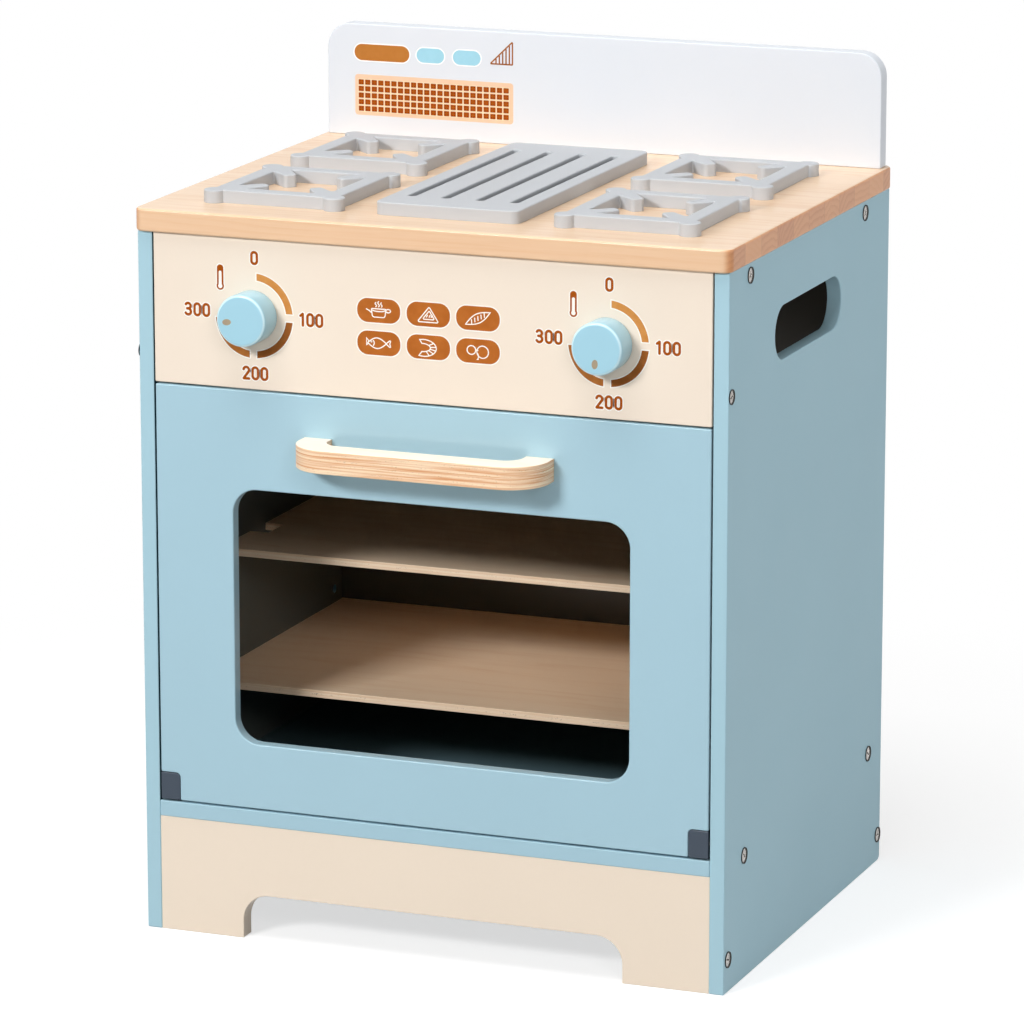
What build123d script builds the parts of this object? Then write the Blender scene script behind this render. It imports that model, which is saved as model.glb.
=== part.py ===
"""Toy oven: a wooden play cooker of flat boards, with a drop-down door, two knobs and a hob.

All lengths are millimetres. +X is the oven's right, -Y its front and +Z up. The origin lies on
the floor, under the middle of the whole object, handle included.
"""
from build123d import *
import os
from math import atan2, degrees

# Cabinet boards
cabinet_width = 400.0
cabinet_depth = 321.5
side_height = 464.5
side_thickness = 10.0
side_foot_radius = 4.0
board_edge_radius = 0.8

# Plinth, base board and back
plinth_height = 77.0
plinth_thickness = 13.0
arch_foot_width = 58.5
arch_height = 30.0
arch_radius = 18.0
rear_plinth_height = 60.0
rear_plinth_thickness = 12.0
base_thickness = 10.5
back_panel_thickness = 5.0
back_panel_foot = 30.0
groove_depth = 4.0
groove_clearance = 0.1

# Top rails and worktop
rail_width = 60.0
rail_thickness = 16.0
worktop_thickness = 15.0
worktop_side_overhang = 1.5
worktop_front_overhang = 3.5
worktop_back_overhang = 2.0
worktop_corner_radius = 7.0
worktop_edge_radius = 1.2

# Backsplash
backsplash_width = 396.4
backsplash_height = 76.7
backsplash_thickness = 12.2
backsplash_setback = 5.4
backsplash_corner_radius = 16.5
dowel_radius = 3.0
dowel_margin = 48.2
dowel_grip = 9.0

# Control panel
control_height = 97.7
control_thickness = 10.0

# Side hand holes
hand_hole_length = 133.0
hand_hole_height = 35.0
hand_hole_from_front = 154.6
hand_hole_below_top = 56.5
hand_hole_rim_radius = 1.0

# Knobs
knob_from_side = 70.0
knob_above_panel = 47.9
knob_radius = 16.8
knob_length = 20.0
knob_edge_radius = 2.0
knob_gap = 0.4
spindle_radius = 4.0
spindle_grip = 13.0
running_clearance = 0.08
washer_radius = 8.0
washer_thickness = 1.5
spindle_screw_length = 14.0

# Door
door_thickness = 9.0
door_gap = 1.2
door_side_gap = 1.0
window_side_rail = 53.5
window_top_rail = 64.8
window_bottom_rail = 43.3
window_radius = 16.5
door_edge_radius = 1.0

# Door hinges: plastic corner blocks that turn on steel pins
block_width = 13.6
block_height = 18.3
block_corner_radius = 3.0
block_foot_radius = 1.5
block_edge_radius = 0.6
block_seam = 0.15
flange_width = 27.0
flange_height = 31.0
flange_thickness = 1.6
pivot_height = 9.0
pin_radius = 2.0
pin_grip = 6.0
pin_reach = 9.0
pin_head_room = 1.0
stop_peg_radius = 3.0
stop_peg_reach = 8.0
stop_peg_grip = 6.0
stop_gap = 0.3

# Door catch
catch_width = 44.0
catch_thickness = 14.0
catch_above_joint = 30.0
catch_below_joint = 17.0
catch_screw_spread = 14.0
catch_screw_grip = 7.0
magnet_radius = 5.0
magnet_thickness = 3.0
magnet_below_joint = 8.5
strike_radius = 7.0
strike_thickness = 1.2
strike_shank_radius = 1.5
strike_shank_length = 5.0

# Handle
handle_length = 170.0
handle_projection = 35.0
handle_height = 15.0
handle_leg_width = 19.0
handle_bar_depth = 18.0
handle_outer_radius = 26.0
handle_inner_radius = 11.0
handle_edge_radius = 0.8
handle_below_door_top = 26.8

# Shelves
shelf_thickness = 5.0
shelf_clearance = 0.3
lower_shelf_rise = 59.5
upper_shelf_rise = 142.5
lower_shelf_setback = 70.0
upper_shelf_setback = 98.4
notch_from_front = 49.5
notch_length = 25.0
notch_width = 13.6
peg_radius = 3.0
peg_reach = 8.0
peg_grip = 6.0
peg_from_front = 25.0
peg_from_back = 25.0
spare_peg_rise = 14.3
spare_peg_from_back = 13.0

# Hob
hob_side_margin = 38.0
hob_middle_setback = 150.5
grate_length = 96.0
grate_width = 87.0
grate_pitch = 138.5
grate_height = 8.5
grate_bar = 11.0
grate_lobe_radius = 7.0
grate_lobe_inset = 2.0
grate_finger_length = 24.0
grate_finger_root = 13.4
grate_finger_tip = 8.4
grate_finger_tip_radius = 2.8
griddle_width = 97.5
griddle_length = 241.0
griddle_height = 8.5
griddle_corner_radius = 6.0
griddle_slots = 4
griddle_slot_pitch = 23.3
griddle_slot_width = 5.4
griddle_slot_margin = 27.0
hob_edge_radius = 1.0
hob_dowel_radius = 2.5
hob_dowel_depth = 5.0

# Screws
screw_head_radius = 5.0
screw_head_height = 1.3
screw_shank_radius = 1.75
screw_length = 35.0
small_head_radius = 4.0
small_head_height = 2.0
small_shank_radius = 1.5
block_screw_radius = 1.0
block_screw_head = 2.2
block_screw_length = 5.5
bore_clearance = 0.05
control_screw_rise = 19.2
front_rail_screw_setback = 38.7
rear_rail_screw_setback = 269.0
base_screw_front_setback = 36.9
base_screw_rear_setback = 292.0
plinth_screw_setback = 7.5
plinth_screw_height = 21.8
rear_plinth_screw_height = 18.8
worktop_screw_margin = 60.0
worktop_screw_grip = 10.0

# Planes worked out from the sizes above
front = handle_projection - (handle_projection + cabinet_depth + worktop_back_overhang) / 2
back = front + cabinet_depth
inner_half = cabinet_width / 2 - side_thickness
base_top = plinth_height + base_thickness
control_bottom = side_height - control_height
control_back = front + control_thickness
rear_plinth_front = back - rear_plinth_thickness
back_panel_front = rear_plinth_front - back_panel_thickness
rail_bottom = side_height - rail_thickness
rail_middle = side_height - rail_thickness / 2
worktop_top = side_height + worktop_thickness
worktop_half = cabinet_width / 2 + worktop_side_overhang
worktop_screw_spread = inner_half - worktop_screw_margin
backsplash_back = back + worktop_back_overhang - backsplash_setback
backsplash_front = backsplash_back - backsplash_thickness
dowel_spread = backsplash_width / 2 - dowel_margin
door_half = inner_half - door_side_gap
door_bottom = base_top + door_gap
door_top = control_bottom - door_gap
door_height = door_top - door_bottom
door_back = front + door_thickness
window_half = door_half - window_side_rail
window_bottom = door_bottom + window_bottom_rail
window_height = door_height - window_bottom_rail - window_top_rail
pivot_y = front + door_thickness / 2
pivot_z = door_bottom + pivot_height
stop_offset = door_thickness / 2 + stop_peg_radius + stop_gap
knob_spread = inner_half - knob_from_side
knob_z = control_bottom + knob_above_panel
handle_top = door_top - handle_below_door_top
handle_middle = handle_top - handle_height / 2
handle_leg_x = (handle_length - handle_leg_width) / 2
magnet_z = control_bottom - magnet_below_joint
magnet_front = door_back + stop_gap
hob_spread = worktop_half - hob_side_margin - grate_width / 2
hob_middle = front + hob_middle_setback
hand_hole_y = front + hand_hole_from_front
hand_hole_z = side_height - hand_hole_below_top
sides = (-1, 1)

CENTRE_LOW = (Align.CENTER, Align.MIN)


def elevation(y):
    """Sketch plane seen from the front: sketch x is +X, sketch y is +Z."""
    return Plane(origin=(0, y, 0), x_dir=(1, 0, 0), z_dir=(0, -1, 0))


def side_elevation(x):
    """Sketch plane seen from the right: sketch x is +Y, sketch y is +Z."""
    return Plane(origin=(x, 0, 0), x_dir=(0, 1, 0), z_dir=(1, 0, 0))


def block(x_span, y_span, z_span):
    """Square-edged piece between two planes on each axis."""
    low = Vector(x_span[0], y_span[0], z_span[0])
    size = Vector(x_span[1], y_span[1], z_span[1]) - low
    middle = low + size / 2
    return Pos(middle.X, middle.Y, middle.Z) * Box(size.X, size.Y, size.Z)


def rod(start, direction, radius, length):
    """Round bar that runs from start along direction."""
    return Solid.make_cylinder(radius, length, Plane(origin=start, z_dir=direction))


def bore(start, direction, radius, length, clearance=bore_clearance):
    """Cutter for a hole that takes a bar of the given radius."""
    return rod(start, direction, radius + clearance, length)


def screw(start, direction, head_radius, head_height, shank_radius, length):
    """Domed screw whose head rests at start; direction points from the head to the tip."""
    dome = TangentArc((0, head_height), (head_radius, 0), tangent=(1, 0))
    point = shank_radius * 1.5
    flank = Polyline(
        (head_radius, 0),
        (shank_radius, 0),
        (shank_radius, point - length),
        (0, -length),
        (0, head_height),
    )
    profile = make_face(Plane.XZ * Curve([dome, flank]))
    turned = revolve(profile, Axis.Z)
    return Plane(origin=start, z_dir=(-Vector(*direction))) * turned


def along(shape, axis, low, high):
    """Edges of a shape whose centres lie between two places on an axis."""
    return shape.edges().filter_by_position(axis, low, high)


def ease_front(shape, radius=board_edge_radius):
    """Rounds the edges that bound a board's front face."""
    return fillet(shape.faces().sort_by(Axis.Y)[0].edges(), radius)


def side_screw_places():
    """(y, z) of the screws that hold each side panel to the boards between the sides."""
    base_middle = plinth_height + base_thickness / 2
    return [
        (front + control_thickness / 2, control_bottom + control_screw_rise),
        (front + front_rail_screw_setback, rail_middle),
        (front + rear_rail_screw_setback, rail_middle),
        (front + base_screw_front_setback, base_middle),
        (front + base_screw_rear_setback, base_middle),
        (front + plinth_screw_setback, plinth_screw_height),
        (back - rear_plinth_thickness / 2, rear_plinth_screw_height),
    ]


def cut_side_screws(board):
    """Pilot holes for those side screws that enter this board's ends."""
    box = board.bounding_box()
    for y, z in side_screw_places():
        if box.min.Y < y < box.max.Y and box.min.Z < z < box.max.Z:
            for side in sides:
                start = (side * (cabinet_width / 2), y, z)
                board -= bore(start, (-side, 0, 0), screw_shank_radius, screw_length)
    return board


def shelf_levels():
    """(underside, front edge) of the lower and the upper shelf."""
    lower = (base_top + lower_shelf_rise, front + lower_shelf_setback)
    upper = (base_top + upper_shelf_rise, front + upper_shelf_setback)
    return {"lower": lower, "upper": upper}


def peg_places(level):
    """(y, z) of the two pegs on each side that carry a shelf."""
    underside, shelf_front = shelf_levels()[level]
    z = underside - peg_radius
    return [(shelf_front + peg_from_front, z), (back_panel_front - peg_from_back, z)]


def side_panel():
    """Right side panel with hand hole, back groove and every hole that opens into it."""
    outline = Pos((front + back) / 2, 0) * Rectangle(cabinet_depth, side_height, align=CENTRE_LOW)
    rear_foot = outline.vertices().sort_by(Axis.Y)[:2].sort_by(Axis.X)[-1]
    outline = fillet(rear_foot, side_foot_radius)
    outline -= Pos(hand_hole_y, hand_hole_z) * SlotOverall(hand_hole_length, hand_hole_height)
    panel = extrude(side_elevation(inner_half) * outline, amount=side_thickness)
    panel = ease_front(panel)
    faces = panel.faces().sort_by(Axis.X)
    rims = faces[0].inner_wires()[0].edges() + faces[-1].inner_wires()[0].edges()
    panel = fillet(rims, hand_hole_rim_radius)
    groove_front = back_panel_front - groove_clearance
    groove_back = rear_plinth_front + groove_clearance
    panel -= block(
        (inner_half, inner_half + groove_depth), (groove_front, groove_back), (back_panel_foot, side_height)
    )
    for y, z in side_screw_places():
        panel -= bore((cabinet_width / 2, y, z), (-1, 0, 0), screw_shank_radius, side_thickness)
    for level in ("lower", "upper"):
        for y, z in peg_places(level):
            panel -= bore((inner_half, y, z), (1, 0, 0), peg_radius, peg_grip)
    spare_z = shelf_levels()["lower"][0] + spare_peg_rise
    panel -= bore((inner_half, back_panel_front - spare_peg_from_back, spare_z), (1, 0, 0), peg_radius, peg_grip)
    panel -= bore((inner_half, pivot_y, pivot_z), (1, 0, 0), pin_radius, pin_grip)
    stop = (inner_half, pivot_y + stop_offset, pivot_z + stop_offset)
    panel -= bore(stop, (1, 0, 0), stop_peg_radius, stop_peg_grip)
    return panel


def plinth_front():
    """Front plinth with a low arch that leaves two feet."""
    outline = Rectangle(2 * inner_half, plinth_height, align=CENTRE_LOW)
    arch_width = 2 * (inner_half - arch_foot_width)
    arch = Rectangle(arch_width, arch_height, align=CENTRE_LOW)
    arch = fillet(arch.vertices().sort_by(Axis.Y)[-2:], arch_radius)
    board = extrude(elevation(front) * (outline - arch), amount=-plinth_thickness)
    return cut_side_screws(ease_front(board, board_edge_radius / 2))


def plinth_rear():
    """Rear plinth, set flush with the back edges of the sides."""
    board = block((-inner_half, inner_half), (rear_plinth_front, back), (0, rear_plinth_height))
    return cut_side_screws(board)


def base_board():
    """Floor of the oven; its front edge shows as a strip under the door."""
    board = block((-inner_half, inner_half), (front, back_panel_front), (plinth_height, base_top))
    return cut_side_screws(ease_front(board))


def back_panel():
    """Thin back that slides into the side panels' grooves."""
    half = inner_half + groove_depth - groove_clearance
    return block((-half, half), (back_panel_front, rear_plinth_front), (back_panel_foot, side_height))


def top_rail(rail_front):
    """Flat rail under the worktop, screwed between the sides."""
    rail = block((-inner_half, inner_half), (rail_front, rail_front + rail_width), (rail_bottom, side_height))
    for x in (-worktop_screw_spread, worktop_screw_spread):
        start = (x, rail_front + rail_width / 2, rail_bottom)
        rail -= bore(start, (0, 0, 1), small_shank_radius, rail_thickness)
    return cut_side_screws(rail)


def rail_fronts():
    """Front edges of the front and the rear rail."""
    return (control_back, back_panel_front - rail_width)


def worktop_screw_places():
    """(x, y) of the screws that pull the worktop down on the rails."""
    return [(x, rail + rail_width / 2) for x in (-worktop_screw_spread, worktop_screw_spread) for rail in rail_fronts()]


def backsplash_dowel_places():
    """(x, y) of the dowels between worktop and backsplash."""
    return [(x, (backsplash_front + backsplash_back) / 2) for x in (-dowel_spread, 0, dowel_spread)]


def worktop():
    """Solid wood top with rounded corners and eased edges."""
    y_low = front - worktop_front_overhang
    y_high = back + worktop_back_overhang
    top = block((-worktop_half, worktop_half), (y_low, y_high), (side_height, worktop_top))
    top = fillet(top.edges().filter_by(Axis.Z), worktop_corner_radius)
    rims = along(top, Axis.Z, side_height, side_height) + along(top, Axis.Z, worktop_top, worktop_top)
    top = fillet(rims, worktop_edge_radius)
    for x, y in worktop_screw_places():
        top -= bore((x, y, side_height), (0, 0, 1), small_shank_radius, worktop_screw_grip)
    for x, y in backsplash_dowel_places():
        top -= bore((x, y, worktop_top), (0, 0, -1), dowel_radius, dowel_grip)
    for x, y in hob_dowel_places():
        top -= bore((x, y, worktop_top), (0, 0, -1), hob_dowel_radius, hob_dowel_depth)
    return top


def backsplash():
    """Upright board behind the hob, round at its top corners."""
    outline = Pos(0, worktop_top) * Rectangle(backsplash_width, backsplash_height, align=CENTRE_LOW)
    outline = fillet(outline.vertices().sort_by(Axis.Y)[-2:], backsplash_corner_radius)
    board = extrude(elevation(backsplash_front) * outline, amount=-backsplash_thickness)
    faces = board.faces().sort_by(Axis.Y)
    rims = (faces[0].edges() + faces[-1].edges()).filter_by_position(
        Axis.Z, worktop_top + board_edge_radius, worktop_top + backsplash_height
    )
    board = fillet(rims, board_edge_radius)
    for x, y in backsplash_dowel_places():
        board -= bore((x, y, worktop_top), (0, 0, 1), dowel_radius, dowel_grip)
    return board


def control_panel():
    """Board above the door, bored for the two knob spindles."""
    board = block((-inner_half, inner_half), (front, control_back), (control_bottom, side_height))
    board = ease_front(board, board_edge_radius / 2)
    for side in sides:
        start = (side * knob_spread, front, knob_z)
        board -= bore(start, (0, 1, 0), spindle_radius, control_thickness, running_clearance)
    for x in (-catch_screw_spread, catch_screw_spread):
        start = (x, control_back, catch_screw_z())
        board -= bore(start, (0, -1, 0), small_shank_radius, catch_screw_grip)
    return cut_side_screws(board)


def knob():
    """Turned knob with a softened rim and a blind hole for its spindle; at the origin, facing -Y."""
    body = rod((0, -knob_gap, 0), (0, -1, 0), knob_radius, knob_length - knob_gap)
    rims = body.edges().filter_by(GeomType.CIRCLE).sort_by(Axis.Y)
    body = fillet(rims[0], knob_edge_radius)
    rear_rim = body.edges().filter_by(GeomType.CIRCLE).sort_by(Axis.Y)[-1]
    body = fillet(rear_rim, board_edge_radius)
    return body - bore((0, -knob_gap, 0), (0, -1, 0), spindle_radius, spindle_grip)


def knob_spindle():
    """Dowel glued into the knob; it turns in the panel and takes a screw in its rear end."""
    end = control_thickness + knob_gap
    spindle = rod((0, -knob_gap - spindle_grip, 0), (0, 1, 0), spindle_radius, knob_gap + spindle_grip + end)
    return spindle - bore((0, end, 0), (0, -1, 0), small_shank_radius, spindle_screw_length)


def knob_washer():
    """Washer that keeps the spindle in the panel."""
    start = (0, control_thickness + knob_gap, 0)
    disc = rod(start, (0, 1, 0), washer_radius, washer_thickness)
    return disc - bore(start, (0, 1, 0), small_shank_radius, washer_thickness)


def knob_screw():
    """Screw through the washer into the spindle."""
    start = (0, control_thickness + knob_gap + washer_thickness, 0)
    return screw(start, (0, -1, 0), small_head_radius, small_head_height, small_shank_radius, spindle_screw_length)


def hinge_outline(width, height, seam):
    """Outline in the right lower corner of the door, its inner top corner rounded."""
    x_low = door_half - width + seam
    z_high = height - seam
    shape = Pos(x_low, door_bottom) * Rectangle(width - seam, z_high, align=(Align.MIN, Align.MIN))
    inner = shape.vertices().sort_by(Axis.Y)[-2:].sort_by(Axis.X)[0]
    return fillet(inner, block_corner_radius)


def flange_screw_places():
    """(x, z) of the two screws in the right hinge flange, clear of the block."""
    x_inner = door_half - (block_width + flange_width) / 2
    z_upper = door_bottom + (block_height + flange_height) / 2
    return [(x_inner, door_bottom + block_height / 2), (door_half - block_width / 2, z_upper)]


def hinge_block():
    """Right hinge block: it fills the door's corner and carries a flange in the door's back."""
    body_depth = door_thickness - flange_thickness
    outline = hinge_outline(block_width, block_height, block_seam)
    outline = fillet(outline.vertices().sort_by(Axis.Y)[:2].sort_by(Axis.X)[0], block_foot_radius)
    body = extrude(elevation(front) * outline, amount=-body_depth)
    body = ease_front(body, block_edge_radius)
    flange_plane = elevation(door_back - flange_thickness)
    flange = extrude(flange_plane * hinge_outline(flange_width, flange_height, block_seam), amount=-flange_thickness)
    part = body + flange
    low_back = part.faces().sort_by(Axis.Y)[-1].edges().sort_by(Axis.Z)[0]
    part = fillet(low_back, door_edge_radius)
    bore_start = (door_half, pivot_y, pivot_z)
    bore_length = pin_reach + pin_head_room - door_side_gap
    part -= bore(bore_start, (-1, 0, 0), pin_radius, bore_length, running_clearance)
    for x, z in flange_screw_places():
        part -= bore((x, door_back, z), (0, -1, 0), block_screw_radius, flange_thickness)
    return part


def door_panel():
    """Door board with window, hinge corners and the holes for handle, flange and strike."""
    outline = Pos(0, door_bottom) * Rectangle(2 * door_half, door_height, align=CENTRE_LOW)
    window = Pos(0, window_bottom + window_height / 2) * RectangleRounded(
        2 * window_half, window_height, window_radius
    )
    board = extrude(elevation(front) * (outline - window), amount=-door_thickness)
    board = ease_front(board, door_edge_radius)
    rear_low = board.faces().sort_by(Axis.Y)[-1].edges().sort_by(Axis.Z)[0]
    board = fillet(rear_low, door_edge_radius)
    corner = extrude(elevation(front) * hinge_outline(block_width, block_height, 0), amount=-door_thickness)
    flange_plane = elevation(door_back - flange_thickness)
    recess = extrude(flange_plane * hinge_outline(flange_width, flange_height, 0), amount=-flange_thickness)
    cutters = corner + recess
    for x, z in flange_screw_places():
        start = (x, door_back, z)
        cutters += bore(start, (0, -1, 0), block_screw_radius, block_screw_length)
    board -= cutters
    board -= mirror(cutters, about=Plane.YZ)
    for side in sides:
        start = (side * handle_leg_x, door_back, handle_middle)
        board -= bore(start, (0, -1, 0), small_shank_radius, door_thickness)
    strike = (0, door_back, magnet_z)
    board -= bore(strike, (0, -1, 0), strike_radius, strike_thickness, bore_clearance)
    board -= bore(strike, (0, -1, 0), strike_shank_radius, strike_thickness + strike_shank_length)
    return board


def handle_screw_length():
    """From the door's back well into the handle's leg."""
    return door_thickness + handle_projection / 2


def handle():
    """Bow handle sawn from thick plywood: two legs and a bar with rounded shoulders."""
    outer = Pos(0, front) * Rectangle(handle_length, handle_projection, align=(Align.CENTER, Align.MAX))
    outer = fillet(outer.vertices().sort_by(Axis.Y)[:2], handle_outer_radius)
    gap_depth = handle_projection - handle_bar_depth
    gap_width = handle_length - 2 * handle_leg_width
    inner = Pos(0, front) * Rectangle(gap_width, gap_depth, align=(Align.CENTER, Align.MAX))
    inner = fillet(inner.vertices().sort_by(Axis.Y)[:2], handle_inner_radius)
    bow = extrude(Plane.XY.offset(handle_top - handle_height) * (outer - inner), amount=handle_height)
    rims = bow.faces().sort_by(Axis.Z)[0].edges() + bow.faces().sort_by(Axis.Z)[-1].edges()
    rims = rims.filter_by_position(Axis.Y, front - handle_projection, front - handle_edge_radius)
    bow = fillet(rims, handle_edge_radius)
    for side in sides:
        start = (side * handle_leg_x, front, handle_middle)
        bow -= bore(start, (0, -1, 0), small_shank_radius, handle_screw_length() - door_thickness)
    return bow


def catch_screw_z():
    """Height of the screws that hold the catch block to the control panel."""
    return control_bottom + catch_above_joint / 2


def catch_block():
    """Wooden block behind the control panel that carries the magnet down to the door."""
    y_span = (control_back, control_back + catch_thickness)
    z_span = (control_bottom - catch_below_joint, control_bottom + catch_above_joint)
    body = block((-catch_width / 2, catch_width / 2), y_span, z_span)
    body -= bore((0, magnet_front, magnet_z), (0, 1, 0), magnet_radius, magnet_thickness)
    for x in (-catch_screw_spread, catch_screw_spread):
        body -= bore((x, control_back, catch_screw_z()), (0, 1, 0), small_shank_radius, catch_thickness)
    return body


def catch_screws():
    """Two screws through the catch block into the control panel."""
    length = catch_thickness + catch_screw_grip
    return [
        screw(
            (x, control_back + catch_thickness, catch_screw_z()),
            (0, -1, 0),
            small_head_radius,
            small_head_height,
            small_shank_radius,
            length,
        )
        for x in (-catch_screw_spread, catch_screw_spread)
    ]


def strike_stud():
    """Steel stud pressed into the door's back, its head flush, for the magnet to hold."""
    start = (0, door_back, magnet_z)
    head = rod(start, (0, -1, 0), strike_radius, strike_thickness)
    return head + rod(start, (0, -1, 0), strike_shank_radius, strike_thickness + strike_shank_length)


def shelf(level):
    """Plywood shelf on four pegs; the upper one is notched at both ends."""
    underside, shelf_front = shelf_levels()[level]
    half = inner_half - shelf_clearance
    board = block((-half, half), (shelf_front, back_panel_front), (underside, underside + shelf_thickness))
    if level == "upper":
        notch_front = shelf_front + notch_from_front
        notch_span = (notch_front, notch_front + notch_length)
        z_span = (underside, underside + shelf_thickness)
        for side in sides:
            x_span = sorted((side * (inner_half - notch_width), side * inner_half))
            board -= block(x_span, notch_span, z_span)
    return board


def shelf_pegs(level):
    """Four dowel pegs under a shelf, two in each side panel."""
    pegs = []
    for y, z in peg_places(level):
        for side in sides:
            start = (side * (inner_half + peg_grip), y, z)
            pegs.append(rod(start, (-side, 0, 0), peg_radius, peg_grip + peg_reach))
    return pegs


def grate_places():
    """(name, x, y) of the four pan supports."""
    rows = {"front": hob_middle - grate_pitch / 2, "rear": hob_middle + grate_pitch / 2}
    columns = {"left": -hob_spread, "right": hob_spread}
    return [(f"{row}_{column}", x, y) for row, y in rows.items() for column, x in columns.items()]


def hob_dowel_places():
    """(x, y) of the dowels under grates and griddle."""
    places = []
    bar = (grate_width - grate_bar) / 2
    for _, x, y in grate_places():
        places += [(x - bar, y), (x + bar, y)]
    offset = griddle_length / 2 - griddle_slot_margin / 2
    places += [(0, hob_middle - offset), (0, hob_middle + offset)]
    return places


def cut_hob_dowels(piece):
    """Blind holes in the underside of a hob piece."""
    box = piece.bounding_box()
    for x, y in hob_dowel_places():
        if box.min.X < x < box.max.X and box.min.Y < y < box.max.Y:
            piece -= bore((x, y, worktop_top), (0, 0, 1), hob_dowel_radius, hob_dowel_depth)
    return piece


def grate_finger():
    """Tapered tongue with a rounded tip, from its root at the origin along +x."""
    root, tip = grate_finger_root / 2, grate_finger_tip / 2
    corners = [(0, -root), (grate_finger_length, -tip), (grate_finger_length, tip), (0, root)]
    tongue = make_face(Polyline(*corners, close=True))
    return fillet(tongue.vertices().sort_by(Axis.X)[-2:], grate_finger_tip_radius)


def grate_outline():
    """Frame with a round lobe at each corner and, inside, a finger that points to the middle."""
    frame = Rectangle(grate_width, grate_length)
    frame -= Rectangle(grate_width - 2 * grate_bar, grate_length - 2 * grate_bar)
    outer_x = grate_width / 2 - grate_lobe_inset
    outer_y = grate_length / 2 - grate_lobe_inset
    inner_x = grate_width / 2 - grate_bar
    inner_y = grate_length / 2 - grate_bar
    for x_side in sides:
        for y_side in sides:
            turn = degrees(atan2(-y_side * inner_y, -x_side * inner_x))
            frame += Pos(x_side * outer_x, y_side * outer_y) * Circle(grate_lobe_radius)
            frame += Pos(x_side * inner_x, y_side * inner_y) * Rot(0, 0, turn) * grate_finger()
    return frame


def grate(x, y):
    """Pan support that lies on the worktop."""
    frame = extrude(Pos(x, y, worktop_top) * grate_outline(), amount=grate_height)
    frame = fillet(frame.faces().sort_by(Axis.Z)[-1].edges(), hob_edge_radius)
    return cut_hob_dowels(frame)


def griddle():
    """Griddle plate between the grates, with long slots."""
    outline = RectangleRounded(griddle_width, griddle_length, griddle_corner_radius)
    slot_length = griddle_length - 2 * griddle_slot_margin
    slots = GridLocations(griddle_slot_pitch, 0, griddle_slots, 1) * SlotOverall(
        slot_length, griddle_slot_width, rotation=90
    )
    middle = Pos(0, hob_middle, worktop_top)
    plate = extrude(middle * outline, amount=griddle_height)
    plate = fillet(plate.faces().sort_by(Axis.Z)[-1].edges(), hob_edge_radius)
    for slot in slots:
        plate -= extrude(middle * slot, amount=griddle_height)
    return cut_hob_dowels(plate)


def cabinet():
    """Nodes of the fixed cabinet, hob included."""
    right = side_panel()
    front_rail, rear_rail = rail_fronts()
    nodes = {
        "side_panel_right": right,
        "side_panel_left": mirror(right, about=Plane.YZ),
        "plinth_front": plinth_front(),
        "plinth_rear": plinth_rear(),
        "base_board": base_board(),
        "back_panel": back_panel(),
        "top_rail_front": top_rail(front_rail),
        "top_rail_rear": top_rail(rear_rail),
        "worktop": worktop(),
        "backsplash": backsplash(),
        "control_panel": control_panel(),
        "catch_block": catch_block(),
        "catch_magnet": rod((0, magnet_front, magnet_z), (0, 1, 0), magnet_radius, magnet_thickness),
        "catch_screws": catch_screws(),
        "griddle_plate": griddle(),
    }
    for level in ("lower", "upper"):
        nodes[f"shelf_{level}"] = shelf(level)
        nodes[f"shelf_pegs_{level}"] = shelf_pegs(level)
    for name, x, y in grate_places():
        nodes[f"grate_{name}"] = grate(x, y)
    return nodes


def cabinet_fixings():
    """Screws, dowels, hinge pins and stop pegs of the cabinet, each kind one group."""
    side_screws = {
        side: [
            screw(
                (side * cabinet_width / 2, y, z),
                (-side, 0, 0),
                screw_head_radius,
                screw_head_height,
                screw_shank_radius,
                screw_length,
            )
            for y, z in side_screw_places()
        ]
        for side in sides
    }
    worktop_screws = [
        screw(
            (x, y, rail_bottom),
            (0, 0, 1),
            small_head_radius,
            small_head_height,
            small_shank_radius,
            rail_thickness + worktop_screw_grip - bore_clearance,
        )
        for x, y in worktop_screw_places()
    ]
    back_dowels = [
        rod((x, y, worktop_top - dowel_grip), (0, 0, 1), dowel_radius, 2 * dowel_grip)
        for x, y in backsplash_dowel_places()
    ]
    hob_dowels = [
        rod((x, y, worktop_top - hob_dowel_depth), (0, 0, 1), hob_dowel_radius, 2 * hob_dowel_depth)
        for x, y in hob_dowel_places()
    ]
    pins = [
        rod((side * (inner_half + pin_grip), pivot_y, pivot_z), (-side, 0, 0), pin_radius, pin_grip + pin_reach)
        for side in sides
    ]
    stops = [
        rod(
            (side * (inner_half + stop_peg_grip), pivot_y + stop_offset, pivot_z + stop_offset),
            (-side, 0, 0),
            stop_peg_radius,
            stop_peg_grip + stop_peg_reach,
        )
        for side in sides
    ]
    return {
        "side_screws_left": side_screws[-1],
        "side_screws_right": side_screws[1],
        "worktop_screws": worktop_screws,
        "backsplash_dowels": back_dowels,
        "hob_dowels": hob_dowels,
        "hinge_pins": pins,
        "door_stop_pegs": stops,
    }


def door():
    """Nodes that swing with the door."""
    right_block = hinge_block()
    handle_screws = [
        screw(
            (side * handle_leg_x, door_back, handle_middle),
            (0, -1, 0),
            small_head_radius,
            small_head_height,
            small_shank_radius,
            handle_screw_length(),
        )
        for side in sides
    ]
    block_screws = [
        screw(
            (side * x, door_back, z),
            (0, -1, 0),
            block_screw_head,
            block_screw_radius / 2,
            block_screw_radius,
            block_screw_length,
        )
        for x, z in flange_screw_places()
        for side in sides
    ]
    return {
        "door_panel": door_panel(),
        "hinge_block_right": right_block,
        "hinge_block_left": mirror(right_block, about=Plane.YZ),
        "hinge_block_screws": block_screws,
        "handle": handle(),
        "handle_screws": handle_screws,
        "strike_stud": strike_stud(),
    }


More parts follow.
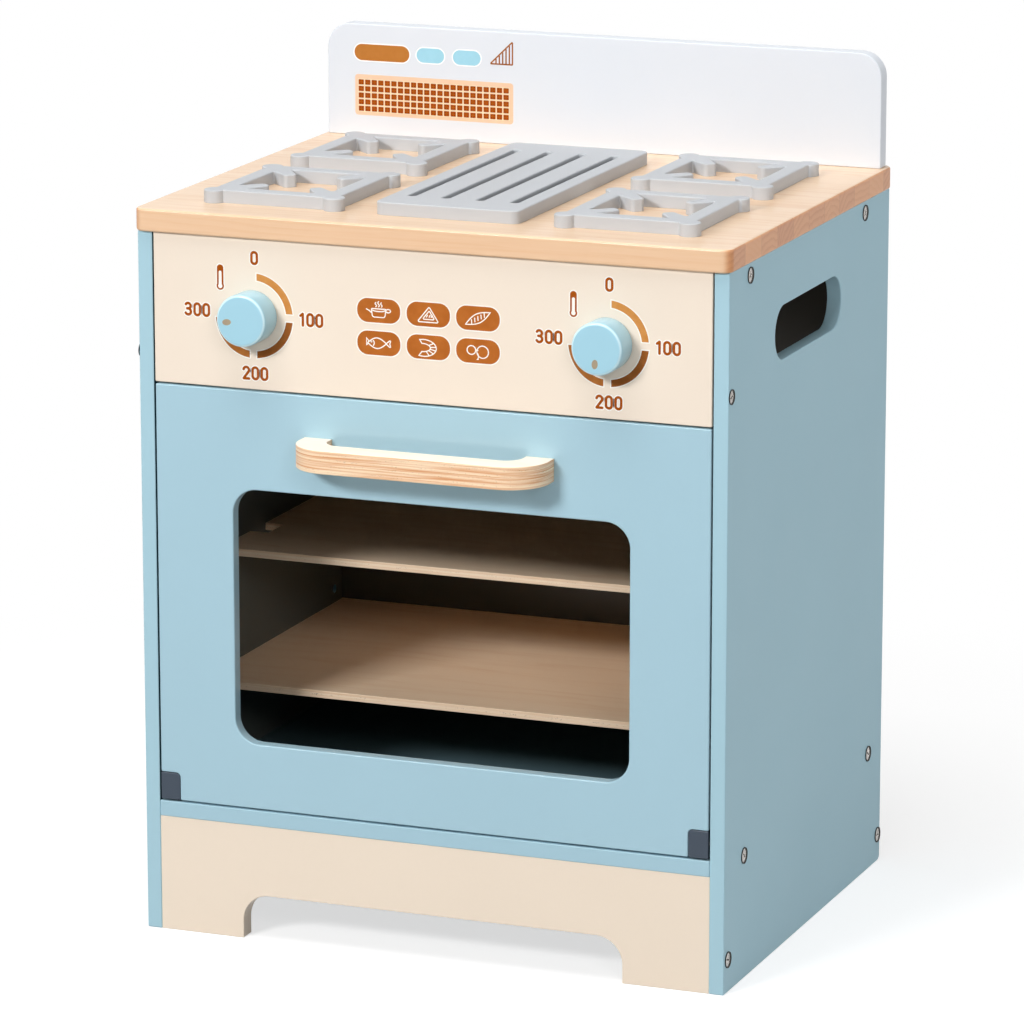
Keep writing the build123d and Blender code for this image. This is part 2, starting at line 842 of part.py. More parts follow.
def knobs():
    """Nodes of both knobs, each with its spindle, washer and screw."""
    nodes = {}
    for name, side in (("left", -1), ("right", 1)):
        place = Pos(side * knob_spread, front, knob_z)
        nodes[f"knob_{name}"] = place * knob()
        nodes[f"knob_spindle_{name}"] = place * knob_spindle()
        nodes[f"knob_washer_{name}"] = place * knob_washer()
        nodes[f"knob_screw_{name}"] = place * knob_screw()
    return nodes


def main():
    """Writes one STEP file for each node."""
    os.makedirs("parts", exist_ok=True)
    nodes = {**cabinet(), **cabinet_fixings(), **door(), **knobs()}
    for name, shape in nodes.items():
        whole = Compound(children=shape) if isinstance(shape, list) else shape
        export_step(whole, f"parts/{name}.step")


main()
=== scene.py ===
"""Toy oven: painted boards with eased edges, a bow handle, turned knobs, a hob and printed dials.

Sizes are millimetres in the frame's axes: +X is the oven's right, -Y its front and +Z up. A mesh
is scaled to metres when its object is made, and every object stays at the origin.
"""

import logging
import math
from dataclasses import dataclass, field, replace
from enum import Enum
from typing import Iterable, Sequence

import bpy
import numpy as np
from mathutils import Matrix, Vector
from mathutils.geometry import tessellate_polygon


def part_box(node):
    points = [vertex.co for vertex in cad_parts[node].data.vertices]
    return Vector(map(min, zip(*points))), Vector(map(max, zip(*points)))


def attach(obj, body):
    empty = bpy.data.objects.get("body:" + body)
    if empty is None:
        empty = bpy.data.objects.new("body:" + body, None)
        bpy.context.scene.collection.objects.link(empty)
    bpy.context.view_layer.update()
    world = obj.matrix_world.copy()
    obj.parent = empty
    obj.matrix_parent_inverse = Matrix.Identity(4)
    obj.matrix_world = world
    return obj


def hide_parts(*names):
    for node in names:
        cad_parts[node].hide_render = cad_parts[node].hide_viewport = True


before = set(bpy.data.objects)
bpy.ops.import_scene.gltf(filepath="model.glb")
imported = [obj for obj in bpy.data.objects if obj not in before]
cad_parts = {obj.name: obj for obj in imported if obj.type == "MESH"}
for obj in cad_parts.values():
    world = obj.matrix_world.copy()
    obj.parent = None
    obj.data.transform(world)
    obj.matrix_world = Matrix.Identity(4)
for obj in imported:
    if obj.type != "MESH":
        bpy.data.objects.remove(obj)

LOG = logging.getLogger("toy_oven")
MM = 0.001
SQUARE_CORNER = 0.25
CORNER_SLACK = 0.05
FILM_STEP = 0.004
FACE_REACH = 0.06
DOOR_BACK = -134.0

Pair = tuple[float, float]
Place = Sequence[float]
Radii = float | Sequence[float]


# Outlines: closed lines made of arcs joined by straight stretches


@dataclass(frozen=True)
class Outline:
    """A closed flat line with the exact normal at each of its points.

    Attributes:
        points: (n, 2) points, counter-clockwise.
        normals: (n, 2) unit vectors that point out of the material.
    """

    points: np.ndarray
    normals: np.ndarray

    @staticmethod
    def of_arcs(
        centres: np.ndarray, radii: np.ndarray, starts: np.ndarray, sweeps: np.ndarray, steps: int = 8
    ) -> "Outline":
        """Samples a chain of arcs; straight stretches join one arc's end to the next one's start.

        A point is centre + radius * (cos a, sin a), with a running from start to start + sweep.
        The normal is the same direction, turned round where the sweep is clockwise.

        Args:
            centres: (k, 2) arc centres.
            radii: (k,) arc radii.
            starts: (k,) start angles in radians.
            sweeps: (k,) signed sweeps in radians, positive counter-clockwise.
            steps: stretches in each arc.

        Returns:
            The closed outline.
        """
        angles = starts[:, None] + sweeps[:, None] * np.linspace(0.0, 1.0, steps + 1)
        rays = np.stack([np.cos(angles), np.sin(angles)], axis=-1)
        points = centres[:, None, :] + radii[:, None, None] * rays
        normals = rays * np.sign(sweeps)[:, None, None]
        return Outline(points.reshape(-1, 2), normals.reshape(-1, 2))

    @staticmethod
    def polygon(corners: Sequence[Place], radii: Radii, steps: int = 8) -> "Outline":
        """Polygon whose corners are rounded by tangent arcs.

        Each arc touches both sides of its corner at radius * tan(turn / 2) from it, and its centre
        lies one radius to the inner side of the turn.

        Args:
            corners: the corners, counter-clockwise.
            radii: one radius for all corners, or one for each.
            steps: stretches in each rounded corner.

        Returns:
            The closed outline.
        """
        corner = np.asarray(corners, float)
        radius = np.broadcast_to(np.maximum(np.asarray(radii, float), SQUARE_CORNER), len(corner))
        along_in = corner - np.roll(corner, 1, axis=0)
        along_in /= np.linalg.norm(along_in, axis=1, keepdims=True)
        along_out = np.roll(along_in, -1, axis=0)
        cross = along_in[:, 0] * along_out[:, 1] - along_in[:, 1] * along_out[:, 0]
        turn = np.arctan2(cross, np.sum(along_in * along_out, axis=1))
        inward = np.stack([-along_in[:, 1], along_in[:, 0]], axis=1) * np.sign(turn)[:, None]
        reach = radius * np.tan(np.abs(turn) / 2)
        centres = corner - along_in * reach[:, None] + inward * radius[:, None]
        starts = np.arctan2(-inward[:, 1], -inward[:, 0])
        return Outline.of_arcs(centres, radius, starts, turn, steps)

    @staticmethod
    def rectangle(low: Place, high: Place, radii: Radii = 0.0, steps: int = 8) -> "Outline":
        """Rounded rectangle between two corners; radii run from the low corner counter-clockwise."""
        corners = [(low[0], low[1]), (high[0], low[1]), (high[0], high[1]), (low[0], high[1])]
        return Outline.polygon(corners, radii, steps)

    @staticmethod
    def stadium(centre: Place, width: float, height: float, steps: int = 12) -> "Outline":
        """Rectangle with two half-round ends."""
        half = np.array([width, height]) / 2
        middle = np.asarray(centre, float)
        return Outline.rectangle(middle - half, middle + half, min(half) * 0.999, steps)

    @staticmethod
    def disc(centre: Place, radius: float, steps: int = 10) -> "Outline":
        """Full circle as four quarter arcs."""
        centres = np.broadcast_to(np.asarray(centre, float), (4, 2))
        starts = np.arange(4) * math.pi / 2
        return Outline.of_arcs(centres, np.full(4, radius), starts, np.full(4, math.pi / 2), steps)

    def as_hole(self) -> "Outline":
        """The same line as the rim of a hole: its normals point into the void."""
        return Outline(self.points, -self.normals)

    def inset(self, distance: np.ndarray) -> np.ndarray:
        """(rows, n, 2) points moved into the material, one row for each distance."""
        return self.points[None] - self.normals[None] * np.asarray(distance)[:, None, None]


class Lay(Enum):
    """How a flat outline lies in space: the directions of its width, height and thickness."""

    FLOOR = ((1, 0, 0), (0, 1, 0), (0, 0, 1))
    FRONT = ((1, 0, 0), (0, 0, 1), (0, -1, 0))
    SIDE = ((0, 1, 0), (0, 0, 1), (1, 0, 0))

    def place(self, flat: np.ndarray, height: np.ndarray) -> np.ndarray:
        """(…, 3) points from (…, 2) flat ones and their place along the thickness."""
        axes = np.array(self.value, float)
        return flat[..., :1] * axes[0] + flat[..., 1:2] * axes[1] + height[..., None] * axes[2]


# Shapes: closed surfaces worked out as whole arrays


def ring_faces(rows: int, count: int, first: int = 0) -> np.ndarray:
    """(faces, 4) corners of a grid of rows whose points close round in each row."""
    row, column = np.meshgrid(np.arange(rows - 1), np.arange(count), indexing="ij")
    after = (column + 1) % count
    here, above = row * count, (row + 1) * count
    faces = np.stack([here + column, here + after, above + after, above + column], axis=-1)
    return faces.reshape(-1, 4) + first


@dataclass(frozen=True)
class Shape:
    """A closed surface.

    Attributes:
        points: (n, 3) points in millimetres.
        faces: groups of faces, each (f, corners).
        normals: the groups' corner normals, each (f, corners, 3), or none for plain smooth ones.
        smooth: whether the faces are shaded smooth.
    """

    points: np.ndarray
    faces: tuple[np.ndarray, ...]
    normals: tuple[np.ndarray, ...] | None = None
    smooth: bool = True

    @staticmethod
    def joined(shapes: Iterable["Shape"]) -> "Shape":
        """One shape that holds several."""
        parts = list(shapes)
        starts = np.cumsum([0] + [len(part.points) for part in parts])
        faces = tuple(group + start for part, start in zip(parts, starts) for group in part.faces)
        exact = all(part.normals is not None for part in parts)
        normals = tuple(group for part in parts for group in part.normals) if exact else None
        return Shape(np.concatenate([part.points for part in parts]), faces, normals, parts[0].smooth)

    def flat(self) -> "Shape":
        """The shape shaded flat, without corner normals."""
        return replace(self, normals=None, smooth=False)

    def moved(self, offset: Place) -> "Shape":
        """The shape carried by an offset."""
        return replace(self, points=self.points + np.asarray(offset, float))

    def mirrored(self) -> "Shape":
        """The shape reflected across the oven's middle plane, its faces still outward."""
        flip = np.array([-1.0, 1.0, 1.0])
        faces = tuple(group[:, ::-1] for group in self.faces)
        normals = None if self.normals is None else tuple(group[:, ::-1] * flip for group in self.normals)
        return replace(self, points=self.points * flip, faces=faces, normals=normals)

    def turned_to(self, direction: Place) -> "Shape":
        """The shape turned so that its +Z points along a direction."""
        turn = np.array(Vector((0, 0, 1)).rotation_difference(Vector(direction)).to_matrix())
        normals = None if self.normals is None else tuple(group @ turn.T for group in self.normals)
        return replace(self, points=self.points @ turn.T, normals=normals)

    def mesh(self, name: str) -> bpy.types.Mesh:
        """Blender mesh in metres, with the exact corner normals where the shape has them."""
        mesh = bpy.data.meshes.new(name)
        faces = [row for group in self.faces for row in group.tolist()]
        mesh.from_pydata((self.points * MM).tolist(), [], faces)
        mesh.polygons.foreach_set("use_smooth", np.full(len(faces), self.smooth))
        if self.normals is not None:
            corners = np.concatenate([group.reshape(-1, 3) for group in self.normals])
            mesh.normals_split_custom_set(corners.tolist())
        mesh.update()
        return mesh


@dataclass(frozen=True)
class Board:
    """A board of even thickness whose faces meet its edges in quarter rounds.

    Attributes:
        outline: the outer edge.
        low: the board's low face along its thickness.
        high: the board's high face.
        lay: how the outline lies in space.
        holes: outlines of holes that go right through.
        sockets: outlines of blind holes in the low face.
        socket_depth: how deep the blind holes go.
        ease_low: radius of the round at the low face.
        ease_high: radius of the round at the high face.
        ease_steps: stretches in each round.
    """

    outline: Outline
    low: float
    high: float
    lay: Lay = Lay.FLOOR
    holes: tuple[Outline, ...] = ()
    sockets: tuple[Outline, ...] = ()
    socket_depth: float = 6.0
    ease_low: float = 0.8
    ease_high: float = 0.8
    ease_steps: int = 4

    def eased(self, ease: float, steps: int = 4) -> "Board":
        """The board with the same round at both faces."""
        return replace(self, ease_low=ease, ease_high=ease, ease_steps=steps)

    def _profile(self) -> tuple[np.ndarray, np.ndarray, np.ndarray]:
        """Inset, height and tilt of the rows from the low face round the edge to the high one."""
        bend = np.linspace(0.0, math.pi / 2, self.ease_steps + 1)
        low_inset = self.ease_low * (1 - np.sin(bend))
        low_height = self.low + self.ease_low * (1 - np.cos(bend))
        high_inset = self.ease_high * (1 - np.cos(bend))
        high_height = self.high - self.ease_high * (1 - np.sin(bend))
        inset = np.concatenate([low_inset, high_inset])
        height = np.concatenate([low_height, high_height])
        return inset, height, np.concatenate([bend - math.pi / 2, bend])

    def _wall(self, rim: Outline, first: int) -> tuple[np.ndarray, np.ndarray, np.ndarray]:
        """Points, faces and corner normals of the eased wall that follows one rim."""
        inset, height, tilt = self._profile()
        flat = rim.inset(inset)
        points = self.lay.place(flat, np.broadcast_to(height[:, None], flat.shape[:2]))
        sideways = np.cos(tilt)[:, None, None] * rim.normals[None]
        lean = self.lay.place(sideways, np.broadcast_to(np.sin(tilt)[:, None], sideways.shape[:2]))
        faces = ring_faces(len(inset), len(rim.points))
        return points.reshape(-1, 3), faces + first, lean.reshape(-1, 3)[faces]

    def _cap(self, rims: list[tuple[np.ndarray, int]], upward: bool) -> tuple[np.ndarray, np.ndarray]:
        """Faces and normals of a flat cap between rims given as (flat points, first index)."""
        loops = [[Vector((x, y, 0.0)) for x, y in flat] for flat, _ in rims]
        index = np.concatenate([np.arange(len(flat)) + first for flat, first in rims])
        local = np.array(tessellate_polygon(loops))
        flat = np.concatenate([flat for flat, _ in rims])
        a, b, c = (flat[local[:, k]] for k in range(3))
        area = np.cross(b - a, c - a)
        local = local[np.abs(area) > 1e-9]
        wrong = (area[np.abs(area) > 1e-9] > 0) != upward
        local[wrong] = local[wrong][:, ::-1]
        normal = self.lay.place(np.zeros((1, 2)), np.array([1.0 if upward else -1.0]))
        return index[local], np.broadcast_to(normal, (len(local), 3, 3)).copy()

    def shape(self) -> Shape:
        """The board's closed surface: an eased wall round each rim and two flat caps."""
        points: list[np.ndarray] = []
        faces: list[np.ndarray] = []
        normals: list[np.ndarray] = []
        low_rims: list[tuple[np.ndarray, int]] = []
        high_rims: list[tuple[np.ndarray, int]] = []
        total = 0
        inset, _, _ = self._profile()
        for rim in (self.outline, *self.holes):
            wall_points, wall_faces, wall_normals = self._wall(rim, total)
            count = len(rim.points)
            flat = rim.inset(inset)
            low_rims.append((flat[0], total))
            high_rims.append((flat[-1], total + (len(inset) - 1) * count))
            clockwise = rim is not self.outline
            faces.append(wall_faces[:, ::-1] if clockwise else wall_faces)
            normals.append(wall_normals[:, ::-1] if clockwise else wall_normals)
            points.append(wall_points)
            total += len(wall_points)
        for rim in self.sockets:
            total = self._add_socket(rim, total, points, faces, normals, low_rims)
        for rims, upward in ((low_rims, False), (high_rims, True)):
            cap_faces, cap_normals = self._cap(rims, upward)
            faces.append(cap_faces)
            normals.append(cap_normals)
        return Shape(np.concatenate(points), tuple(faces), tuple(normals))

    def _add_socket(
        self,
        rim: Outline,
        total: int,
        points: list[np.ndarray],
        faces: list[np.ndarray],
        normals: list[np.ndarray],
        low_rims: list[tuple[np.ndarray, int]],
    ) -> int:
        """Adds a blind hole's straight wall and flat floor; returns the new count of points."""
        count = len(rim.points)
        heights = np.array([self.low, self.low + self.socket_depth])
        flat = np.broadcast_to(rim.points, (2, count, 2))
        wall = self.lay.place(flat, np.broadcast_to(heights[:, None], (2, count)))
        inward = self.lay.place(np.broadcast_to(-rim.normals, (2, count, 2)), np.zeros((2, count)))
        wall_faces = ring_faces(2, count)[:, ::-1]
        points.append(wall.reshape(-1, 3))
        faces.append(wall_faces + total)
        normals.append(inward.reshape(-1, 3)[wall_faces])
        low_rims.append((rim.points, total))
        floor_faces, floor_normals = self._cap([(rim.points, total + count)], upward=False)
        faces.append(floor_faces)
        normals.append(floor_normals)
        return total + 2 * count


def turned(rings: np.ndarray) -> Shape:
    """Closes rings of points round +Z with a pole on the axis at either end.

    Args:
        rings: (rows, steps, 3) points, from the lowest ring up.

    Returns:
        The closed shape with plain smooth normals.
    """
    count, steps, _ = rings.shape
    poles = np.array([[0.0, 0.0, ring[:, 2].mean()] for ring in (rings[0], rings[-1])])
    column = np.arange(steps)
    after = (column + 1) % steps
    last = (count - 1) * steps
    bottom = np.stack([np.full(steps, last + steps), after, column], axis=1)
    top = np.stack([np.full(steps, last + steps + 1), last + column, last + after], axis=1)
    return Shape(np.concatenate([rings.reshape(-1, 3), poles]), (ring_faces(count, steps), bottom, top))


def lathe(profile: np.ndarray, steps: int = 64) -> np.ndarray:
    """Rings of a surface of revolution about +Z.

    A point is (r cos t, r sin t, z) for each (r, z) of the profile and each angle t.

    Args:
        profile: (n, 2) radius and height, from the bottom's outer edge up to the top's.
        steps: columns round the axis.

    Returns:
        (n, steps, 3) points.
    """
    angle = np.linspace(0.0, 2 * math.pi, steps, endpoint=False)
    radius, height = profile[:, :1], np.broadcast_to(profile[:, 1:], (len(profile), steps))
    return np.stack([radius * np.cos(angle), radius * np.sin(angle), height], axis=-1)


def round_edge(radius: float, height: float, ease: float, inward: bool, steps: int = 6) -> np.ndarray:
    """(steps + 1, 2) radius and height of a quarter round at a turned edge.

    Args:
        radius: the outer radius of the turned piece.
        height: the height of the flat face that the round meets.
        ease: the round's radius; negative where the face looks down.
        inward: whether the rows run from the wall in to the face.
        steps: stretches in the round.

    Returns:
        The rows of the profile.
    """
    bend = np.linspace(0.0, math.pi / 2, steps + 1)
    rows = np.stack([radius - abs(ease) * (1 - np.cos(bend)), height - ease * (1 - np.sin(bend))], axis=1)
    return rows if inward else rows[::-1]


def ribbon(
    path: np.ndarray, half_width: float, low: float, high: float, lay: Lay, closed: bool = False
) -> Shape:
    """Flat line of even width with round ends, laid along a path.

    Each point of the path becomes a rectangle across it. At an open end the path runs on by one
    half width, in which the width shrinks as the square root of w * w - d * d.

    Args:
        path: (n, 2) points along the middle of the line.
        half_width: half the line's width.
        low: the line's back along the thickness.
        high: the line's face along the thickness.
        lay: how the path lies in space.
        closed: whether the path's end meets its start.

    Returns:
        The closed shape, shaded flat.
    """
    width = np.full(len(path), half_width)
    if not closed:
        reach = half_width * np.sin(np.linspace(0.0, math.pi / 2, 7))[1:]
        taper = np.sqrt(np.maximum(half_width**2 - reach**2, 1e-8))
        head = path[0] - path[1]
        tail = path[-1] - path[-2]
        head = head / np.linalg.norm(head)
        tail = tail / np.linalg.norm(tail)
        path = np.concatenate([path[0] + reach[::-1, None] * head, path, path[-1] + reach[:, None] * tail])
        width = np.concatenate([taper[::-1], width, taper])
    step_in = path - np.roll(path, 1, axis=0)
    step_out = np.roll(path, -1, axis=0) - path
    if not closed:
        step_in[0], step_out[-1] = step_out[0], step_in[-1]
    step_in /= np.linalg.norm(step_in, axis=1, keepdims=True)
    step_out /= np.linalg.norm(step_out, axis=1, keepdims=True)
    tangent = step_in + step_out
    tangent /= np.maximum(np.linalg.norm(tangent, axis=1, keepdims=True), 1e-6)
    across = np.stack([-tangent[:, 1], tangent[:, 0]], axis=1)
    mitre = 1 / np.clip(np.sum(tangent * step_in, axis=1), 0.6, 1.0)
    offset = across * (width * mitre)[:, None]
    left, right = path + offset, path - offset
    count = len(path)
    low_row, high_row = np.full(count, low), np.full(count, high)
    corners = [(left, high_row), (right, high_row), (right, low_row), (left, low_row)]
    rows = np.stack([lay.place(edge, level) for edge, level in corners], axis=1)
    if closed:
        rows = np.concatenate([rows, rows[:1]])
        faces = ring_faces(count + 1, 4) % (4 * count)
        return Shape(rows[:-1].reshape(-1, 3), (faces,), smooth=False)
    ends = np.array([[3, 2, 1, 0], [4 * count - 4, 4 * count - 3, 4 * count - 2, 4 * count - 1]])
    return Shape(rows.reshape(-1, 3), (ring_faces(count, 4), ends), smooth=False)


# Shader expressions


class Signal:
    """A shader socket that takes part in arithmetic; each operation adds a Math node."""

    def __init__(self, graph: "Graph", socket: bpy.types.NodeSocket) -> None:
        """Wraps one output socket of a graph."""
        self.graph = graph
        self.socket = socket

    def _math(self, operation: str, *values: "Signal | float") -> "Signal":
        """Adds a Math node fed by the given values in order."""
        inputs = dict(enumerate(values))
        return self.graph.node("ShaderNodeMath", {"operation": operation}, inputs)[0]

    def __add__(self, other: "Signal | float") -> "Signal":
        """Sum."""
        return self._math("ADD", self, other)

    __radd__ = __add__

    def __sub__(self, other: "Signal | float") -> "Signal":
        """Difference."""
        return self._math("SUBTRACT", self, other)

    def __rsub__(self, other: "Signal | float") -> "Signal":
        """Difference with the signal second."""
        return self._math("SUBTRACT", other, self)

    def __mul__(self, other: "Signal | float") -> "Signal":
        """Product."""
        return self._math("MULTIPLY", self, other)

    __rmul__ = __mul__

    def __truediv__(self, other: "Signal | float") -> "Signal":
        """Quotient."""
        return self._math("DIVIDE", self, other)

    def __pow__(self, other: "Signal | float") -> "Signal":
        """Power."""
        return self._math("POWER", self, other)

    def __abs__(self) -> "Signal":
        """Size without sign."""
        return self._math("ABSOLUTE", self)

    def __gt__(self, other: "Signal | float") -> "Signal":
        """1 where the signal is greater, else 0."""
        return self._math("GREATER_THAN", self, other)

    def __lt__(self, other: "Signal | float") -> "Signal":
        """1 where the signal is less, else 0."""
        return self._math("LESS_THAN", self, other)

    def floor(self) -> "Signal":
        """Whole part."""
        return self._math("FLOOR", self)

    def fraction(self) -> "Signal":
        """What is over the whole part."""
        return self._math("FRACT", self)

    def root(self) -> "Signal":
        """Square root."""
        return self._math("SQRT", self)

    def rise(self, start: float, end: float) -> "Signal":
        """0 before start, 1 after end and a smooth step between; end may lie before start."""
        settings = {"interpolation_type": "SMOOTHSTEP"}
        inputs = {"Value": self, "From Min": start, "From Max": end}
        return self.graph.node("ShaderNodeMapRange", settings, inputs)["Result"]


@dataclass(frozen=True)
class Colour:
    """A colour written as red, green and blue of a screen, from 0 to 255."""

    red: int
    green: int
    blue: int

    def linear(self) -> tuple[float, float, float, float]:
        """Scene-linear red, green, blue and an alpha of 1."""
        share = np.array([self.red, self.green, self.blue]) / 255
        level = np.where(share <= 0.04045, share / 12.92, ((share + 0.055) / 1.055) ** 2.4)
        return (*level.tolist(), 1.0)


class Graph:
    """The node tree of one material, with one method that adds any node."""

    def __init__(self, material: bpy.types.Material) -> None:
        """Empties the material's tree and keeps its output."""
        material.use_nodes = True
        self.tree = material.node_tree
        self.tree.nodes.clear()
        self.output = self.tree.nodes.new("ShaderNodeOutputMaterial")
        self.here = self.node("ShaderNodeTexCoord")["Object"]

    def _feed(self, socket: bpy.types.NodeSocket, value: object) -> None:
        """Links or sets one input socket."""
        if isinstance(value, Signal):
            self.tree.links.new(value.socket, socket)
        elif isinstance(value, Colour):
            socket.default_value = value.linear()
        else:
            socket.default_value = value

    def node(self, kind: str, settings: dict | None = None, inputs: dict | None = None) -> "Outputs":
        """Adds a node.

        Args:
            kind: the node's type.
            settings: properties of the node, set first.
            inputs: values or signals of its sockets, by name or index.

        Returns:
            The node's outputs, by name or index.
        """
        made = self.tree.nodes.new(kind)
        for key, value in (settings or {}).items():
            setattr(made, key, value)
        for key, value in (inputs or {}).items():
            self._feed(made.inputs[key], value)
        return Outputs(self, made)

    def axes(self) -> tuple[Signal, Signal, Signal]:
        """The place on the piece along X, Y and Z, in millimetres."""
        parts = self.node("ShaderNodeSeparateXYZ", inputs={0: self.here})
        return parts[0] * 1000.0, parts[1] * 1000.0, parts[2] * 1000.0

    def join(self, x: Signal | float, y: Signal | float, z: Signal | float) -> Signal:
        """A vector from three values."""
        return self.node("ShaderNodeCombineXYZ", inputs={0: x, 1: y, 2: z})[0]

    def noise(
        self, place: Signal, scale: float, detail: float = 2.0, rough: float = 0.5, warp: float = 0.0
    ) -> Signal:
        """Soft noise from 0 to 1, with scale in features for each unit of place."""
        inputs = {"Vector": place, "Scale": scale, "Detail": detail, "Roughness": rough, "Distortion": warp}
        return self.node("ShaderNodeTexNoise", inputs=inputs)[0]

    def chance(self, number: Signal) -> Signal:
        """A random value from 0 to 1 for each whole number."""
        return self.node("ShaderNodeTexWhiteNoise", {"noise_dimensions": "1D"}, {"W": number})[0]

    def blend(self, share: Signal | float, first: object, second: object, kind: str = "MIX") -> Signal:
        """Mixes two colours by a share of the second."""
        settings = {"data_type": "RGBA", "blend_type": kind}
        return self.node("ShaderNodeMix", settings, {0: share, 6: first, 7: second})[2]

    def shade(self, colour: object, level: Signal) -> Signal:
        """A colour made darker or paler by a level near 1."""
        return self.blend(1.0, colour, self.join(level, level, level), "MULTIPLY")

    def bump(self, height: Signal, depth: float, strength: float = 1.0) -> Signal:
        """A normal from a height of 0 to 1, depth millimetres deep."""
        inputs = {"Height": height, "Distance": depth * MM, "Strength": strength}
        return self.node("ShaderNodeBump", inputs=inputs)[0]

    def surface(self, inputs: dict) -> None:
        """Ends the tree in a Principled shader with the given sockets."""
        shader = self.node("ShaderNodeBsdfPrincipled", inputs=inputs)
        self.tree.links.new(shader[0].socket, self.output.inputs["Surface"])


class Outputs:
    """The output sockets of a node as signals."""

    def __init__(self, graph: Graph, node: bpy.types.Node) -> None:
        """Keeps the node and its graph."""
        self.graph = graph
        self.made = node

    def __getitem__(self, key: str | int) -> Signal:
        """The output of that name or index."""
        return Signal(self.graph, self.made.outputs[key])


# Finishes


@dataclass(frozen=True)
class Finish:
    """A named surface finish; subclasses draw its nodes."""

    name: str

    def draw(self, graph: Graph) -> None:
        """Adds the finish's nodes to an empty graph."""
        raise NotImplementedError

    def material(self) -> bpy.types.Material:
        """The finish's material, made once."""
        title = f"{self.name}_finish"
        made = bpy.data.materials.get(title)
        if made is None:
            made = bpy.data.materials.new(title)
            self.draw(Graph(made))
        return made


@dataclass(frozen=True)
class Paint(Finish):
    """Rolled satin paint on board: a fine stipple, faint clouds of tone and an uneven sheen.

    Attributes:
        colour: the paint.
        gloss: roughness of the film.
        stipple: depth of the roller's stipple in millimetres.
        clouds: how far the tone wanders, from 0 to 1.
        coat: weight of a clear coat.
        shine: strength of the film's own reflection.
        polish: roughness of the clear coat.
    """

    colour: Colour
    gloss: float = 0.42
    stipple: float = 0.02
    clouds: float = 0.05
    coat: float = 0.18
    shine: float = 0.12
    polish: float = 0.2

    def tone(self, graph: Graph) -> Signal:
        """The paint's colour over the surface."""
        cloud = graph.noise(graph.here, 9.0, 3.0)
        speck = graph.noise(graph.here, 700.0, 2.0)
        level = 1.0 - self.clouds * (cloud - 0.5) - self.clouds * 0.35 * (speck - 0.5)
        return graph.shade(self.colour, level)

    def draw(self, graph: Graph) -> None:
        """Adds the paint's nodes."""
        graph.surface(self.sockets(graph, self.tone(graph)))

    def sockets(self, graph: Graph, colour: Signal) -> dict:
        """The Principled sockets of the paint film in a given colour."""
        stipple = graph.noise(graph.here, 850.0, 2.0, 0.6)
        sweep = graph.noise(graph.here, 26.0, 2.0)
        rough = self.gloss + 0.10 * (sweep - 0.5) + 0.06 * (stipple - 0.5)
        return {
            "Base Color": colour,
            "Roughness": rough,
            "Normal": graph.bump(stipple, self.stipple),
            "Specular IOR Level": self.shine,
            "Coat Weight": self.coat,
            "Coat Roughness": self.polish,
        }


@dataclass(frozen=True)
class KnobPaint(Paint):
    """Paint on a turned knob, with a painted highlight: a paler band round its front rim.

    Attributes:
        rim: the colour of the painted highlight on the rim.
        band: radii between which the tone rises.
        edge: radii between which it falls again.
    """

    # The rim colour is a painted highlight round the knob's front edge.
    rim: Colour = Colour(205, 236, 245)
    band: Pair = (15.0, 16.0)
    edge: Pair = (16.2, 16.7)

    def tone(self, graph: Graph) -> Signal:
        """The paint with a painted highlight: paler where the distance from the knob's axis lies in the rim.
        """
        x, _, z = graph.axes()
        low, high = span("knob_right")
        across, up = abs(x) - float(low[0] + high[0]) / 2, z - float(low[2] + high[2]) / 2
        reach = (across * across + up * up).root()
        share = reach.rise(*self.band) * (1.0 - reach.rise(*self.edge))
        return graph.blend(share, super().tone(graph), self.rim)


@dataclass(frozen=True)
class SidePaint(Paint):
    """Paint on the outside of a board, a second colour on its face inside the oven and painted shade beside
    the door.

    Attributes:
        inside: the colour inside the oven.
        gap_shade: the dark teal of the strip that faces the door's edge, painted shade in the gap there.
        half_width: distance from the middle plane to the painted inner face.
        floor_level: height of the inner floor; below it the board stays in the outer colour.
    """

    inside: Colour = Colour(98, 102, 98)
    gap_shade: Colour = Colour(22, 56, 68)
    half_width: float = 190.0
    floor_level: float = 87.0

    def tone(self, graph: Graph) -> Signal:
        """Outer colour, or the inner one on the face that looks into the oven, with painted shade on the
        strip beside the door.
        """
        x, y, z = graph.axes()
        inner = (abs(x) < self.half_width + FACE_REACH) * (z > self.floor_level)
        # The strip in front of the door's back is painted shade: the dark of the gap beside the door.
        behind = graph.blend(y > DOOR_BACK, self.gap_shade, self.inside)
        return graph.blend(inner, super().tone(graph), behind)


@dataclass(frozen=True)
class FloorPaint(Paint):
    """Paint on the base board, with painted shade: a darker blue on the face that is the oven's floor.

    Attributes:
        inside: the darker blue of the oven's floor, painted shade inside the oven.
        level: height of that face.
    """

    inside: Colour = Colour(92, 116, 124)
    level: float = 87.5

    def tone(self, graph: Graph) -> Signal:
        """Outer colour, or the darker painted shade on top, behind the door."""
        _, y, z = graph.axes()
        # The floor face behind the door gets a darker blue: painted shade inside the oven.
        inner = (z > self.level - FACE_REACH) * (y > DOOR_BACK)
        return graph.blend(inner, super().tone(graph), self.inside)


